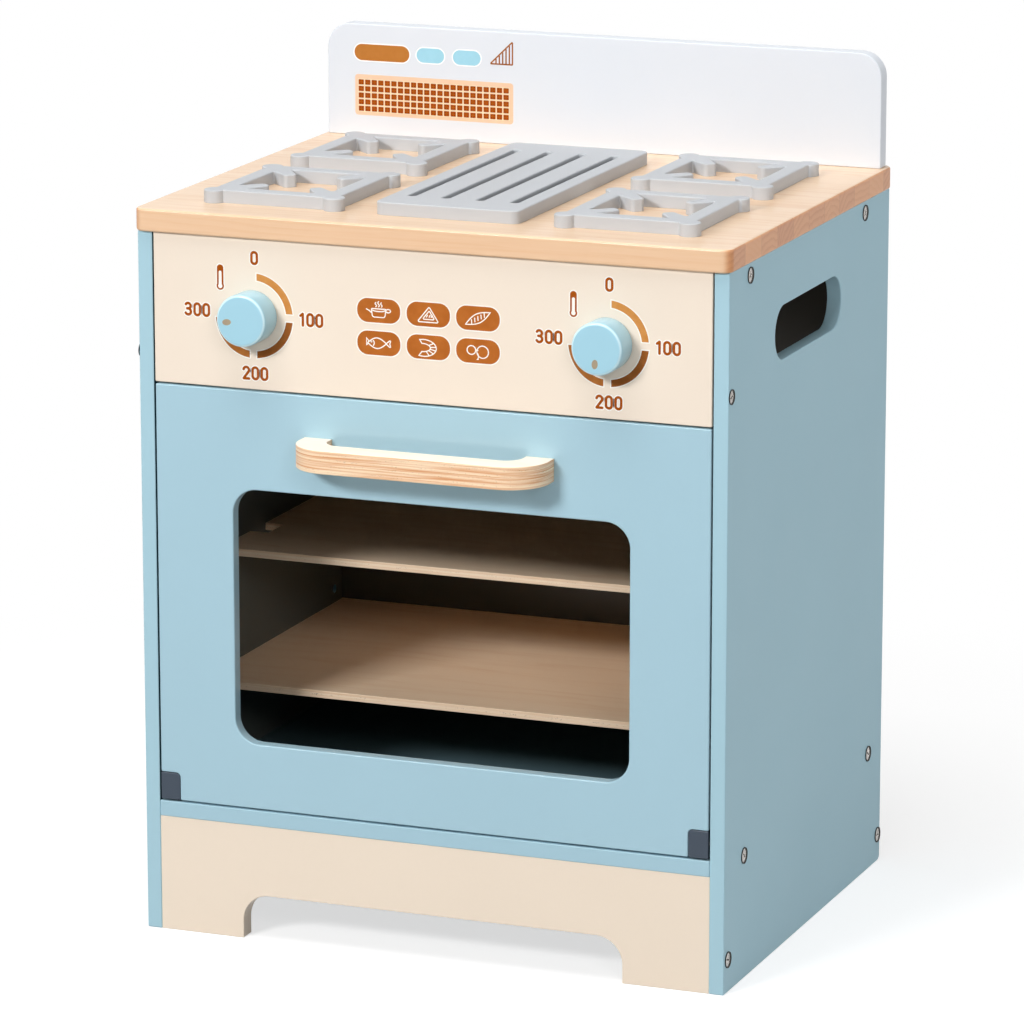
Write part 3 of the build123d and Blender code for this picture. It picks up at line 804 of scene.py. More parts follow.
@dataclass(frozen=True)
class Wood(Finish):
    """Clear-coated light wood of glued staves whose grain runs along X.

    Growth rings are the fraction of a distance from a pith below each stave, bent by a long noise.
    Streaks and fibres are noises stretched along X. The cut ends are darker than the long faces.

    Attributes:
        early: colour of the pale wood in a ring.
        late: colour of the darker wood.
        end: colour of the cut end grain.
        end_late: colour of its rings.
        side: a darker tone blended half over the long edges, painted shade of the edges against the top.
        stave: width of one stave.
        ring: distance between two rings.
        end_at: distance from the middle plane beyond which the wood is a cut end.
        base: y at which the first stave starts.
        faces: heights between which the ends are cut grain.
        gloss: roughness of the coat.
    """

    early: Colour = Colour(236, 206, 174)
    late: Colour = Colour(218, 172, 130)
    end: Colour = Colour(226, 158, 102)
    end_late: Colour = Colour(196, 126, 76)
    side: Colour = Colour(232, 184, 142)
    stave: float = 31.0
    ring: float = 4.6
    end_at: float = 1000.0
    base: float = 0.0
    faces: Pair = (-1000.0, 1000.0)
    gloss: float = 0.36

    def draw(self, graph: Graph) -> None:
        """Adds the wood's nodes."""
        x, y, z = graph.axes()
        layer = (y - self.base) / self.stave
        index = layer.floor()
        luck = graph.chance(index + 3.0)
        second = graph.chance(index + 57.0)
        pith_y = (index + 0.5 + 1.6 * (luck - 0.5)) * self.stave + self.base
        pith_z = 446.0 - 60.0 * second
        wander_place = graph.join(x / 240.0 + 9.0 * luck, y / 30.0 + 5.0 * second, z / 40.0)
        wander = graph.noise(wander_place, 1.0, 3.0, 0.5, 0.3)
        distance = ((y - pith_y) ** 2.0 + (z - pith_z) ** 2.0).root() + 16.0 * wander
        phase = (distance / self.ring).fraction()
        ring = phase.rise(0.3, 0.92) * (1.0 - phase.rise(0.94, 1.0))
        streak = graph.noise(graph.join(x / 110.0 + 13.0 * luck, y / 4.5, z / 2.6), 1.0, 3.0, 0.55)
        fibre = graph.noise(graph.join(x / 26.0 + 7.0 * second, y / 0.8, z / 0.7), 1.0, 3.0, 0.65)
        dash = graph.noise(graph.join(x / 9.0, y / 0.5, z / 0.45), 1.0, 1.0).rise(0.64, 0.80)
        mark = 0.22 * ring * (0.4 + wander) + 1.2 * (streak - 0.42) + 0.4 * (fibre - 0.5) + 0.2 * dash
        colour = graph.blend(mark.rise(-0.1, 1.1), self.early, self.late)
        end_tone = 0.26 * ring * (0.2 + 1.4 * wander) + 0.9 * (luck - 0.35) + 0.4 * (fibre - 0.5)
        end = graph.blend(end_tone.rise(-0.2, 1.1), self.end, self.end_late)
        edge = (z > self.faces[0] + 0.4) * (z < self.faces[1] - 0.4)
        cut = edge * abs(x).rise(self.end_at - 5.5, self.end_at - 0.5)
        # Painted shade: the long edges are blended half towards the darker side tone.
        colour = graph.blend(0.5 * edge, colour, self.side)
        colour = graph.blend(cut, colour, end)
        across = abs(layer.fraction() - 0.5) * 2.0
        seam = across.rise(1.0 - 0.9 / self.stave, 1.0 - 0.2 / self.stave)
        colour = graph.blend((0.12 + 0.22 * cut) * seam, colour, Colour(150, 98, 58))
        rough = self.gloss + 0.16 * (fibre - 0.5) + 0.05 * ring
        height = 0.6 * fibre + 0.2 * ring - 0.3 * dash
        graph.surface(
            {
                "Base Color": colour,
                "Roughness": rough,
                "Normal": graph.bump(height, 0.04, 0.7),
                "Specular IOR Level": 0.2,
                "Coat Weight": 0.35,
                "Coat Roughness": 0.14,
            }
        )


@dataclass(frozen=True)
class Plywood(Finish):
    """Plywood: veneer on its faces and, on its edges, plies with the grain along or across.

    A ply's tone is a random value for its number. Along the grain a ply has long streaks; across it
    the ply shows small dark pores.

    Attributes:
        low: height of the sheet's underside.
        high: height of its top.
        plies: number of plies.
        face: colour of the veneer.
        figure: colour of the veneer's grain lines.
        light: colour of the pale plies.
        dark: colour of the dark ones.
        pore: colour of the pores.
        streaks: how strongly the streaks show on the edges.
        knots: how strongly knots show in the veneer.
        gloss: roughness of the faces.
    """

    low: float
    high: float
    plies: int = 3
    face: Colour = Colour(250, 224, 194)
    figure: Colour = Colour(228, 186, 144)
    light: Colour = Colour(246, 222, 194)
    dark: Colour = Colour(226, 184, 143)
    pore: Colour = Colour(120, 78, 48)
    streaks: float = 0.5
    knots: float = 0.55
    gloss: float = 0.42

    def draw(self, graph: Graph) -> None:
        """Adds the plywood's nodes."""
        x, y, z = graph.axes()
        wave = graph.noise(graph.join(x / 260.0, y / 60.0, z / 50.0), 1.0, 2.0, 0.5, 0.3)
        lines = (wave * 5.0 + y / 30.0).fraction()
        figure = lines.rise(0.35, 0.95) * (1.0 - lines.rise(0.95, 1.0))
        band = graph.noise(graph.join(x / 190.0, y / 9.0, 3.0), 1.0, 3.0, 0.55)
        fibre = graph.noise(graph.join(x / 18.0, y / 0.8, z / 0.8), 1.0, 3.0, 0.6)
        knot = graph.noise(graph.join(x / 90.0, y / 26.0, 1.7), 1.0, 1.0).rise(0.74, 0.80)
        tint = 0.22 * figure + 0.9 * (band - 0.42) + 0.7 * (fibre - 0.45)
        veneer = graph.blend(tint.rise(0.0, 1.3), self.face, self.figure)
        veneer = graph.blend(self.knots * knot, veneer, Colour(150, 92, 54))
        round_place = x + 1.3 * y
        bend = graph.noise(graph.join(round_place / 70.0, z / 9.0, 0.5), 1.0, 2.0) - 0.5
        depth = (z - self.low) / (self.high - self.low) * self.plies + 0.7 * bend
        luck = graph.chance(depth.floor() + 11.0)
        across = (depth * 0.5).fraction() > 0.5
        streak = graph.noise(graph.join(round_place / 60.0, z / 0.9, 4.0 * luck), 1.0, 4.0, 0.62)
        thread = graph.noise(graph.join(round_place / 16.0, z / 0.28, 2.0), 1.0, 2.0, 0.6)
        glue = abs(depth.fraction() - 0.5).rise(0.46, 0.5)
        tone = 0.45 * (luck - 0.4) + self.streaks * (streak - 0.45) * 3.0 + 0.5 * (thread - 0.5) + 0.15 * glue
        edge = graph.blend(tone.rise(-0.35, 0.9), self.light, self.dark)
        speck = graph.noise(graph.join(round_place / 0.9, z / 0.42, y / 0.9), 1.0, 1.0)
        cluster = graph.noise(graph.join(round_place / 14.0, z / 1.5, 9.0), 1.0, 2.0).rise(0.45, 0.62)
        edge = graph.blend(0.8 * across * cluster * speck.rise(0.60, 0.72), edge, self.pore)
        skin = 0.3
        on_edge = z.rise(self.low + skin * 0.5, self.low + skin)
        on_edge = on_edge * (1.0 - z.rise(self.high - skin, self.high - skin * 0.5))
        colour = graph.blend(on_edge, veneer, edge)
        graph.surface(
            {
                "Base Color": colour,
                "Roughness": self.gloss + 0.12 * (fibre - 0.5) + 0.1 * on_edge,
                "Normal": graph.bump(0.6 * fibre + 0.4 * thread, 0.04, 0.7),
                "Coat Weight": 0.1,
                "Coat Roughness": 0.25,
            }
        )


@dataclass(frozen=True)
class Plastic(Finish):
    """Moulded plastic with a fine spark-eroded grain."""

    colour: Colour
    gloss: float = 0.45
    grain: float = 0.03

    def draw(self, graph: Graph) -> None:
        """Adds the plastic's nodes."""
        grain = graph.noise(graph.here, 1400.0, 2.0, 0.7)
        drift = graph.noise(graph.here, 60.0, 2.0)
        level = 1.0 + 0.08 * (drift - 0.5)
        colour = graph.shade(self.colour, level)
        rough = self.gloss + 0.12 * (grain - 0.5)
        graph.surface({"Base Color": colour, "Roughness": rough, "Normal": graph.bump(grain, self.grain)})


@dataclass(frozen=True)
class Metal(Finish):
    """Plated steel with faint turning marks and an uneven polish."""

    colour: Colour
    polish: float = 0.26

    def draw(self, graph: Graph) -> None:
        """Adds the metal's nodes."""
        mark = graph.noise(graph.here, 2600.0, 2.0, 0.6)
        stain = graph.noise(graph.here, 300.0, 2.0)
        level = 1.0 - 0.25 * stain.rise(0.5, 0.8)
        colour = graph.shade(self.colour, level)
        rough = self.polish + 0.16 * (mark - 0.5)
        graph.surface(
            {"Base Color": colour, "Metallic": 1.0, "Roughness": rough, "Normal": graph.bump(mark, 0.008)}
        )


@dataclass(frozen=True)
class Ink(Finish):
    """Screen-printed ink: slightly cloudy where the film is thinner."""

    colour: Colour
    thin: Colour
    cloud_size: float = 6.0

    def draw(self, graph: Graph) -> None:
        """Adds the ink's nodes."""
        cloud = graph.noise(graph.here, 1000.0 / self.cloud_size, 2.0)
        mesh = graph.noise(graph.here, 1800.0, 1.0)
        colour = graph.blend(cloud.rise(0.3, 0.75) * 0.8 + 0.2 * mesh, self.colour, self.thin)
        graph.surface(
            {
                "Base Color": colour,
                "Roughness": 0.5 + 0.1 * (mesh - 0.5),
                "Normal": graph.bump(mesh, 0.01),
                "Specular IOR Level": 0.06,
            }
        )


@dataclass(frozen=True)
class Finishes:
    """Every finish of the oven."""

    blue: Paint = Paint("door_blue", Colour(168, 202, 216), coat=0.45, polish=0.14)
    side_blue: SidePaint = SidePaint("side_blue", Colour(171, 206, 219), coat=0.06, shine=0.06)
    base_blue: FloorPaint = FloorPaint("base_blue", Colour(168, 202, 216))
    knob_blue: KnobPaint = KnobPaint(
        "knob_blue", Colour(163, 209, 226), gloss=0.34, stipple=0.006, clouds=0.03, coat=0.6, polish=0.12
    )
    cream: Paint = Paint("panel_cream", Colour(241, 226, 209))
    plinth_cream: Paint = Paint("plinth_cream", Colour(241, 225, 206))
    white: Paint = Paint("splash_white", Colour(223, 228, 235), clouds=0.02)
    grey: Paint = Paint("hob_grey", Colour(190, 193, 197), gloss=0.5, stipple=0.012, clouds=0.03, coat=0.0)
    inner_grey: Paint = Paint("inner_grey", Colour(84, 82, 76), clouds=0.06)
    worktop: Wood = Wood("worktop_wood", end_at=201.5, base=-151.0, faces=(464.5, 479.5))
    handle: Plywood = Plywood(
        "handle_wood",
        323.8,
        338.8,
        plies=9,
        face=Colour(252, 238, 219),
        figure=Colour(244, 222, 194),
        light=Colour(252, 226, 193),
        dark=Colour(218, 150, 96),
        streaks=1.0,
        knots=0.0,
    )
    rough_wood: Wood = Wood("rough_wood", early=Colour(232, 204, 168), late=Colour(206, 166, 122), gloss=0.6)
    hinge: Plastic = Plastic("hinge_plastic", Colour(50, 62, 76))
    steel: Metal = Metal("screw_steel", Colour(178, 174, 170))
    # Dark sheets of painted shade round the screw heads and at the foot of the griddle's slots.
    shade: Plastic = Plastic("painted_shade", Colour(48, 46, 44), gloss=0.6)
    magnet: Metal = Metal("magnet_nickel", Colour(150, 150, 152), polish=0.35)
    brown: Ink = Ink("brown_ink", Colour(160, 76, 10), Colour(168, 84, 18))
    pill: Ink = Ink("button_ink", Colour(176, 98, 38), Colour(190, 110, 46), cloud_size=9.0)
    arc_light: Ink = Ink("light_arc_ink", Colour(203, 133, 64), Colour(214, 150, 84))
    # The dark arc ink is the middle arc's brown made darker: painted shadow of the knob.
    arc_dark: Ink = Ink("dark_arc_ink", Colour(146, 84, 36), Colour(164, 100, 48))
    arc_middle: Ink = Ink("middle_arc_ink", Colour(164, 98, 42), Colour(182, 116, 58))
    pale: Ink = Ink("pale_ink", Colour(253, 248, 240), Colour(250, 243, 232))
    peach: Ink = Ink("peach_ink", Colour(240, 204, 174), Colour(237, 199, 166))
    straw: Ink = Ink("straw_ink", Colour(240, 218, 184), Colour(238, 213, 176))
    sky: Ink = Ink("sky_ink", Colour(160, 212, 230), Colour(164, 215, 233))
    rust: Ink = Ink("rust_ink", Colour(150, 63, 1), Colour(163, 74, 6))
    caramel: Ink = Ink("caramel_ink", Colour(184, 117, 52), Colour(190, 123, 58))
    halo: Ink = Ink("halo_ink", Colour(255, 255, 255), Colour(252, 252, 252))
    dot: Ink = Ink("dot_ink", Colour(176, 158, 130), Colour(166, 150, 126))


# Sub-assemblies


class Body(Enum):
    """The bodies that pieces ride on."""

    CABINET = "cabinet"
    DOOR = "door"
    LEFT_KNOB = "left_knob"
    RIGHT_KNOB = "right_knob"


def span(node: str) -> tuple[np.ndarray, np.ndarray]:
    """Lowest and highest corner of a frame node, in millimetres."""
    low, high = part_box(node)
    return np.array(low) / MM, np.array(high) / MM


def put(name: str, data: bpy.types.ID) -> bpy.types.Object:
    """Adds an object to the scene at the origin."""
    thing = bpy.data.objects.new(name, data)
    bpy.context.scene.collection.objects.link(thing)
    return thing


@dataclass
class Workshop:
    """Turns shapes into pieces of the scene and dresses frame nodes.

    Attributes:
        finishes: the finishes in use.
        made: names of the pieces made so far.
    """

    finishes: Finishes = field(default_factory=Finishes)
    made: list[str] = field(default_factory=list)

    def add(
        self,
        name: str,
        shape: Shape,
        finish: Finish,
        body: Body,
        stands_for: Sequence[str] = (),
        slot: str = "",
    ) -> bpy.types.Object:
        """Makes one piece that rides on a body.

        Args:
            name: the piece's name.
            shape: its closed surface.
            finish: its finish.
            body: the body that carries it.
            stands_for: frame nodes that the piece replaces.
            slot: the record's material slot, where the piece replaces no node; not used.

        Returns:
            The piece.
        """
        piece = put(name, shape.mesh(name))
        piece.data.materials.append(finish.material())
        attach(piece, body.value)
        if stands_for:
            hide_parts(*stands_for)
        self.made.append(name)
        LOG.info("piece %s: %d points, %s", name, len(shape.points), finish.name)
        return piece

    def dress(self, finish: Finish, *nodes: str) -> None:
        """Gives frame nodes a finish."""
        for node in nodes:
            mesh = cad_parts[node].data
            mesh.materials.clear()
            mesh.materials.append(finish.material())
            LOG.info("node %s: %s", node, finish.name)


@dataclass
class Cabinet:
    """The fixed boards of the oven.

    Attributes:
        ease: rounding of painted edges.
        foot_radius: rounding of the side panels' rear feet.
        hand_hole: length and height of the hand holes.
        hand_hole_from_front: distance from a side panel's front edge to the hole's middle.
        hand_hole_below_top: distance from its top edge to the hole's middle.
        spare_socket_from_back: distance of the spare peg hole from the back panel.
        spare_socket_above_shelf: height of that hole over the lower shelf's underside.
        peg_radius: radius of the peg holes.
        worktop_corner: rounding of the worktop seen from above.
        worktop_ease: rounding of the worktop's rims.
        splash_corner: rounding of the backsplash's top corners.
        arch_foot: width of each foot beside the plinth's arch.
        arch_height: height of the arch.
        arch_radius: rounding of the arch's corners.
        arch_edge: rounding of the plinth's square corners.
        plinth_ease: rounding of its edges.
        plinth_recess: how far the plinth stands behind the strip over it.
        panel_gap: gap between the control panel and a side panel.
    """

    ease: float = 0.8
    foot_radius: float = 4.0
    hand_hole: Pair = (133.0, 35.0)
    hand_hole_from_front: float = 154.6
    hand_hole_below_top: float = 56.5
    spare_socket_from_back: float = 13.0
    spare_socket_above_shelf: float = 14.3
    peg_radius: float = 3.05
    worktop_corner: float = 7.0
    worktop_ease: float = 1.7
    splash_corner: float = 16.5
    arch_foot: float = 58.5
    arch_height: float = 30.0
    arch_radius: float = 18.0
    arch_edge: float = 0.6
    plinth_ease: float = 0.5
    plinth_recess: float = 0.5
    panel_gap: float = 0.9

    def side_panel(self) -> Shape:
        """Right side panel with its hand hole and the spare peg hole inside."""
        low, high = span("side_panel_right")
        outline = Outline.rectangle(low[1:], high[1:], (1.0, self.foot_radius, 1.0, 1.0))
        middle = (low[1] + self.hand_hole_from_front, high[2] - self.hand_hole_below_top)
        hand_hole = Outline.stadium(middle, *self.hand_hole, steps=18).as_hole()
        back = span("back_panel")[0][1] - self.spare_socket_from_back
        level = span("shelf_lower")[0][2] + self.spare_socket_above_shelf
        socket = Outline.disc((back, level), self.peg_radius)
        board = Board(outline, low[0], high[0], Lay.SIDE, (hand_hole,), (socket,))
        return board.eased(self.ease).shape()

    def worktop(self) -> Shape:
        """Wooden top."""
        low, high = span("worktop")
        outline = Outline.rectangle(low[:2], high[:2], self.worktop_corner, steps=10)
        return Board(outline, low[2], high[2]).eased(self.worktop_ease, 5).shape()

    def backsplash(self) -> Shape:
        """Board behind the hob."""
        low, high = span("backsplash")
        corners = (1.0, 1.0, self.splash_corner, self.splash_corner)
        outline = Outline.rectangle(low[[0, 2]], high[[0, 2]], corners, 14)
        return Board(outline, -high[1], -low[1], Lay.FRONT).shape()

    def control_panel(self) -> Shape:
        """Board behind the knobs, a narrow gap away from the side panels."""
        low, high = span("control_panel")
        left, right = low[[0, 2]] + [self.panel_gap, 0.0], high[[0, 2]] - [self.panel_gap, 0.0]
        outline = Outline.rectangle(left, right, self.ease + CORNER_SLACK, 4)
        return Board(outline, -high[1], -low[1], Lay.FRONT).eased(self.ease).shape()

    def base_board(self) -> Shape:
        """Floor of the oven, whose front edge shows as a strip."""
        low, high = span("base_board")
        outline = Outline.rectangle(low[:2], high[:2], self.ease + CORNER_SLACK, 4)
        return Board(outline, low[2], high[2]).eased(self.ease).shape()

    def plinth(self) -> Shape:
        """Front plinth with its arch."""
        low, high = span("plinth_front")
        inner = high[0] - self.arch_foot
        arch = [(-inner, 0.0), (-inner, self.arch_height), (inner, self.arch_height), (inner, 0.0)]
        corners = [(low[0], 0.0), *arch, (high[0], 0.0), (high[0], high[2]), (low[0], high[2])]
        radii = [self.arch_radius if corner in arch[1:3] else self.arch_edge for corner in corners]
        outline = Outline.polygon(corners, radii, 12)
        face = -low[1] - self.plinth_recess
        return Board(outline, -high[1], face, Lay.FRONT).eased(self.plinth_ease).shape()

    def build(self, shop: Workshop) -> None:
        """Makes the boards and dresses the hidden ones."""
        paint = shop.finishes
        side = self.side_panel()
        shop.add("side_panel_right_board", side, paint.side_blue, Body.CABINET, ["side_panel_right"])
        shop.add("side_panel_left_board", side.mirrored(), paint.side_blue, Body.CABINET, ["side_panel_left"])
        shop.add("worktop_board", self.worktop(), paint.worktop, Body.CABINET, ["worktop"])
        shop.add("backsplash_board", self.backsplash(), paint.white, Body.CABINET, ["backsplash"])
        control = self.control_panel()
        shop.add("control_panel_board", control, paint.cream, Body.CABINET, ["control_panel"])
        shop.add("base_board_strip", self.base_board(), paint.base_blue, Body.CABINET, ["base_board"])
        shop.add("plinth_front_board", self.plinth(), paint.plinth_cream, Body.CABINET, ["plinth_front"])
        shop.dress(paint.plinth_cream, "plinth_rear")
        shop.dress(paint.inner_grey, "back_panel")
        rails = ("top_rail_front", "top_rail_rear")
        shop.dress(paint.rough_wood, *rails, "backsplash_dowels", "hob_dowels", "catch_block")
        shop.dress(paint.magnet, "catch_magnet")
        shop.dress(paint.steel, "catch_screws", "worktop_screws", "hinge_pins")
        shop.dress(paint.rough_wood, "door_stop_pegs")


@dataclass
class Shelving:
    """Two plywood shelves on pegs.

    Attributes:
        notch_from_front: distance from the upper shelf's front edge to its end notches.
        notch_length: length of a notch along the shelf's end.
        notch_width: how far a notch cuts in.
        ease: rounding of the shelves' edges.
    """

    notch_from_front: float = 49.5
    notch_length: float = 25.0
    notch_width: float = 13.3
    ease: float = 0.3

    def shelf(self, node: str, notched: bool) -> Shape:
        """One shelf, with a notch in each end where it has them."""
        low, high = span(node)
        near, far = low[1] + self.notch_from_front, low[1] + self.notch_from_front + self.notch_length
        right = [(high[0], low[1])]
        if notched:
            inner = high[0] - self.notch_width
            right += [(high[0], near), (inner, near), (inner, far), (high[0], far)]
        right += [(high[0], high[1])]
        corners = right + [(-x, y) for x, y in right[::-1]]
        outline = Outline.polygon(corners, 0.4, 3)
        return Board(outline, low[2], high[2]).eased(self.ease, 2).shape()

    def build(self, shop: Workshop) -> None:
        """Makes both shelves and dresses their pegs."""
        for level, notched in (("lower", False), ("upper", True)):
            node = f"shelf_{level}"
            low, high = span(node)
            sheet = Plywood(f"{node}_plywood", low[2], high[2])
            shop.add(f"{node}_sheet", self.shelf(node, notched), sheet, Body.CABINET, [node])
            shop.dress(shop.finishes.rough_wood, f"shelf_pegs_{level}")


@dataclass
class Hob:
    """Four pan supports and a slotted griddle on the worktop.

    Attributes:
        bar: width of a support's bars.
        lobe: radius of the round corner bars.
        lobe_inset: how far a lobe's centre lies inside the support's edges.
        finger: length of a finger, from the inner corner towards the middle.
        finger_root: width of a finger at its corner.
        finger_tip: width at its end.
        tip_radius: rounding of its end.
        ease: rounding of the top edges.
        root_radius: rounding where lobes and fingers meet the bars.
        griddle_corner: rounding of the griddle's corners.
        slots: number of slots.
        slot_pitch: distance between slots.
        slot_width: width of a slot.
        slot_margin: distance from the griddle's end to its slots.
        foot_ease: rounding of the lower edges.
        shade_sheet_clear: gap between the dark sheets of painted shade in the slots and the worktop.
        shade_sheet_height: height of those sheets' faces over the worktop.
    """

    bar: float = 11.0
    lobe: float = 7.0
    lobe_inset: float = 2.0
    finger: float = 24.0
    finger_root: float = 13.4
    finger_tip: float = 8.4
    tip_radius: float = 2.8
    ease: float = 1.0
    root_radius: float = 0.9
    griddle_corner: float = 6.0
    slots: int = 4
    slot_pitch: float = 23.3
    slot_width: float = 5.4
    slot_margin: float = 27.0
    foot_ease: float = 0.2
    shade_sheet_clear: float = 0.02
    shade_sheet_height: float = 1.2

    def support_edge(self, middle: np.ndarray, half: np.ndarray) -> Outline:
        """Outer edge of a support: straight bars with a round lobe at each corner.

        The small root arc outside touches the bar's edge and the lobe: its centre lies one root
        radius off the edge and lobe + root away from the lobe's centre.
        """
        root = self.root_radius
        depth = self.lobe_inset + root
        run = math.sqrt((self.lobe + root) ** 2 - depth**2)
        meet = math.atan2(run, depth)
        centres = np.array(
            [
                [root, -self.lobe_inset - run],
                [-self.lobe_inset, -self.lobe_inset],
                [-self.lobe_inset - run, root],
            ]
        )
        starts = np.array([math.pi, -meet, meet - math.pi / 2])
        sweeps = np.array([-meet, math.pi / 2 + 2 * meet, -meet])
        radii = np.array([root, self.lobe, root])
        quarter = np.arange(4) * math.pi / 2
        cosine, sine = np.cos(quarter), np.sin(quarter)
        turn = np.stack([cosine, -sine, sine, cosine], 1).reshape(4, 2, 2)
        corner = middle + half * np.array([[1, 1], [-1, 1], [-1, -1], [1, -1]])
        placed = np.einsum("kij,nj->kni", turn, centres) + corner[:, None, :]
        return Outline.of_arcs(
            placed.reshape(-1, 2),
            np.tile(radii, 4),
            (starts[None, :] + quarter[:, None]).reshape(-1),
            np.tile(sweeps, 4),
            12,
        )

    def support_void(self, middle: np.ndarray, half: np.ndarray) -> Outline:
        """Inner edge of a support: a rectangle with a tapered finger in each corner.

        A finger's side starts half its root width beside the corner and narrows evenly to half its
        tip width at its end; it leaves the rectangle where that line crosses the rectangle's side.
        """
        inner = half - self.bar
        along = -inner / np.linalg.norm(inner)
        across = np.array([-along[1], along[0]])
        root, tip = self.finger_root / 2, self.finger_tip / 2
        lean = (root - tip) / self.finger
        right = root * across[0] / (lean * across[0] - along[0])
        upper = root * across[1] / (lean * across[1] + along[1])
        quarter = np.array(
            [
                right * along + (root - lean * right) * across,
                self.finger * along + tip * across,
                self.finger * along - tip * across,
                upper * along - (root - lean * upper) * across,
            ]
        )
        radii = np.array([self.root_radius, self.tip_radius, self.tip_radius, self.root_radius])
        corners = []
        for side in ((1, 1), (-1, 1), (-1, -1), (1, -1)):
            turned = (quarter + inner) * side
            corners.append(turned if side[0] * side[1] > 0 else turned[::-1])
        return Outline.polygon(np.concatenate(corners) + middle, np.tile(radii, 4), 8).as_hole()

    def support(self, node: str) -> Shape:
        """One pan support in the place of its frame node."""
        low, high = span(node)
        middle = (low[:2] + high[:2]) / 2
        half = (high[:2] - low[:2]) / 2 - (self.lobe - self.lobe_inset)
        outline = self.support_edge(middle, half)
        void = self.support_void(middle, half)
        eases = {"ease_low": self.foot_ease, "ease_high": self.ease}
        return Board(outline, low[2], high[2], holes=(void,), **eases).shape()

    def slot_outlines(self) -> list[Outline]:
        """The rims of the griddle's slots."""
        low, high = span("griddle_plate")
        middle = (low[:2] + high[:2]) / 2
        length = high[1] - low[1] - 2 * self.slot_margin
        places = (np.arange(self.slots) - (self.slots - 1) / 2) * self.slot_pitch
        return [Outline.stadium((middle[0] + x, middle[1]), self.slot_width, length, 8) for x in places]

    def griddle(self) -> Shape:
        """Plate with long slots."""
        low, high = span("griddle_plate")
        outline = Outline.rectangle(low[:2], high[:2], self.griddle_corner, 10)
        slots = tuple(slot.as_hole() for slot in self.slot_outlines())
        eases = {"ease_low": self.foot_ease, "ease_high": self.ease}
        return Board(outline, low[2], high[2], holes=slots, **eases).shape()

    def slot_shade_sheets(self) -> Shape:
        """Thin dark sheets at the foot of the slots: painted shade."""
        foot = span("griddle_plate")[0][2]
        back, face = foot + self.shade_sheet_clear, foot + self.shade_sheet_height
        shade_sheets = [Board(slot, back, face).eased(0.0, 1) for slot in self.slot_outlines()]
        return Shape.joined(floor.shape() for floor in shade_sheets).flat()

    def build(self, shop: Workshop) -> None:
        """Makes the supports and the griddle."""
        for row in ("front", "rear"):
            for side in ("left", "right"):
                node = f"grate_{row}_{side}"
                shop.add(f"{node}_support", self.support(node), shop.finishes.grey, Body.CABINET, [node])
        shop.add("griddle_slotted", self.griddle(), shop.finishes.grey, Body.CABINET, ["griddle_plate"])
        # The dark sheets in the slots are painted shade.
        shade_sheets = self.slot_shade_sheets()
        shop.add("griddle_slot_shade_sheets", shade_sheets, shop.finishes.shade, Body.CABINET, slot="grey_paint")


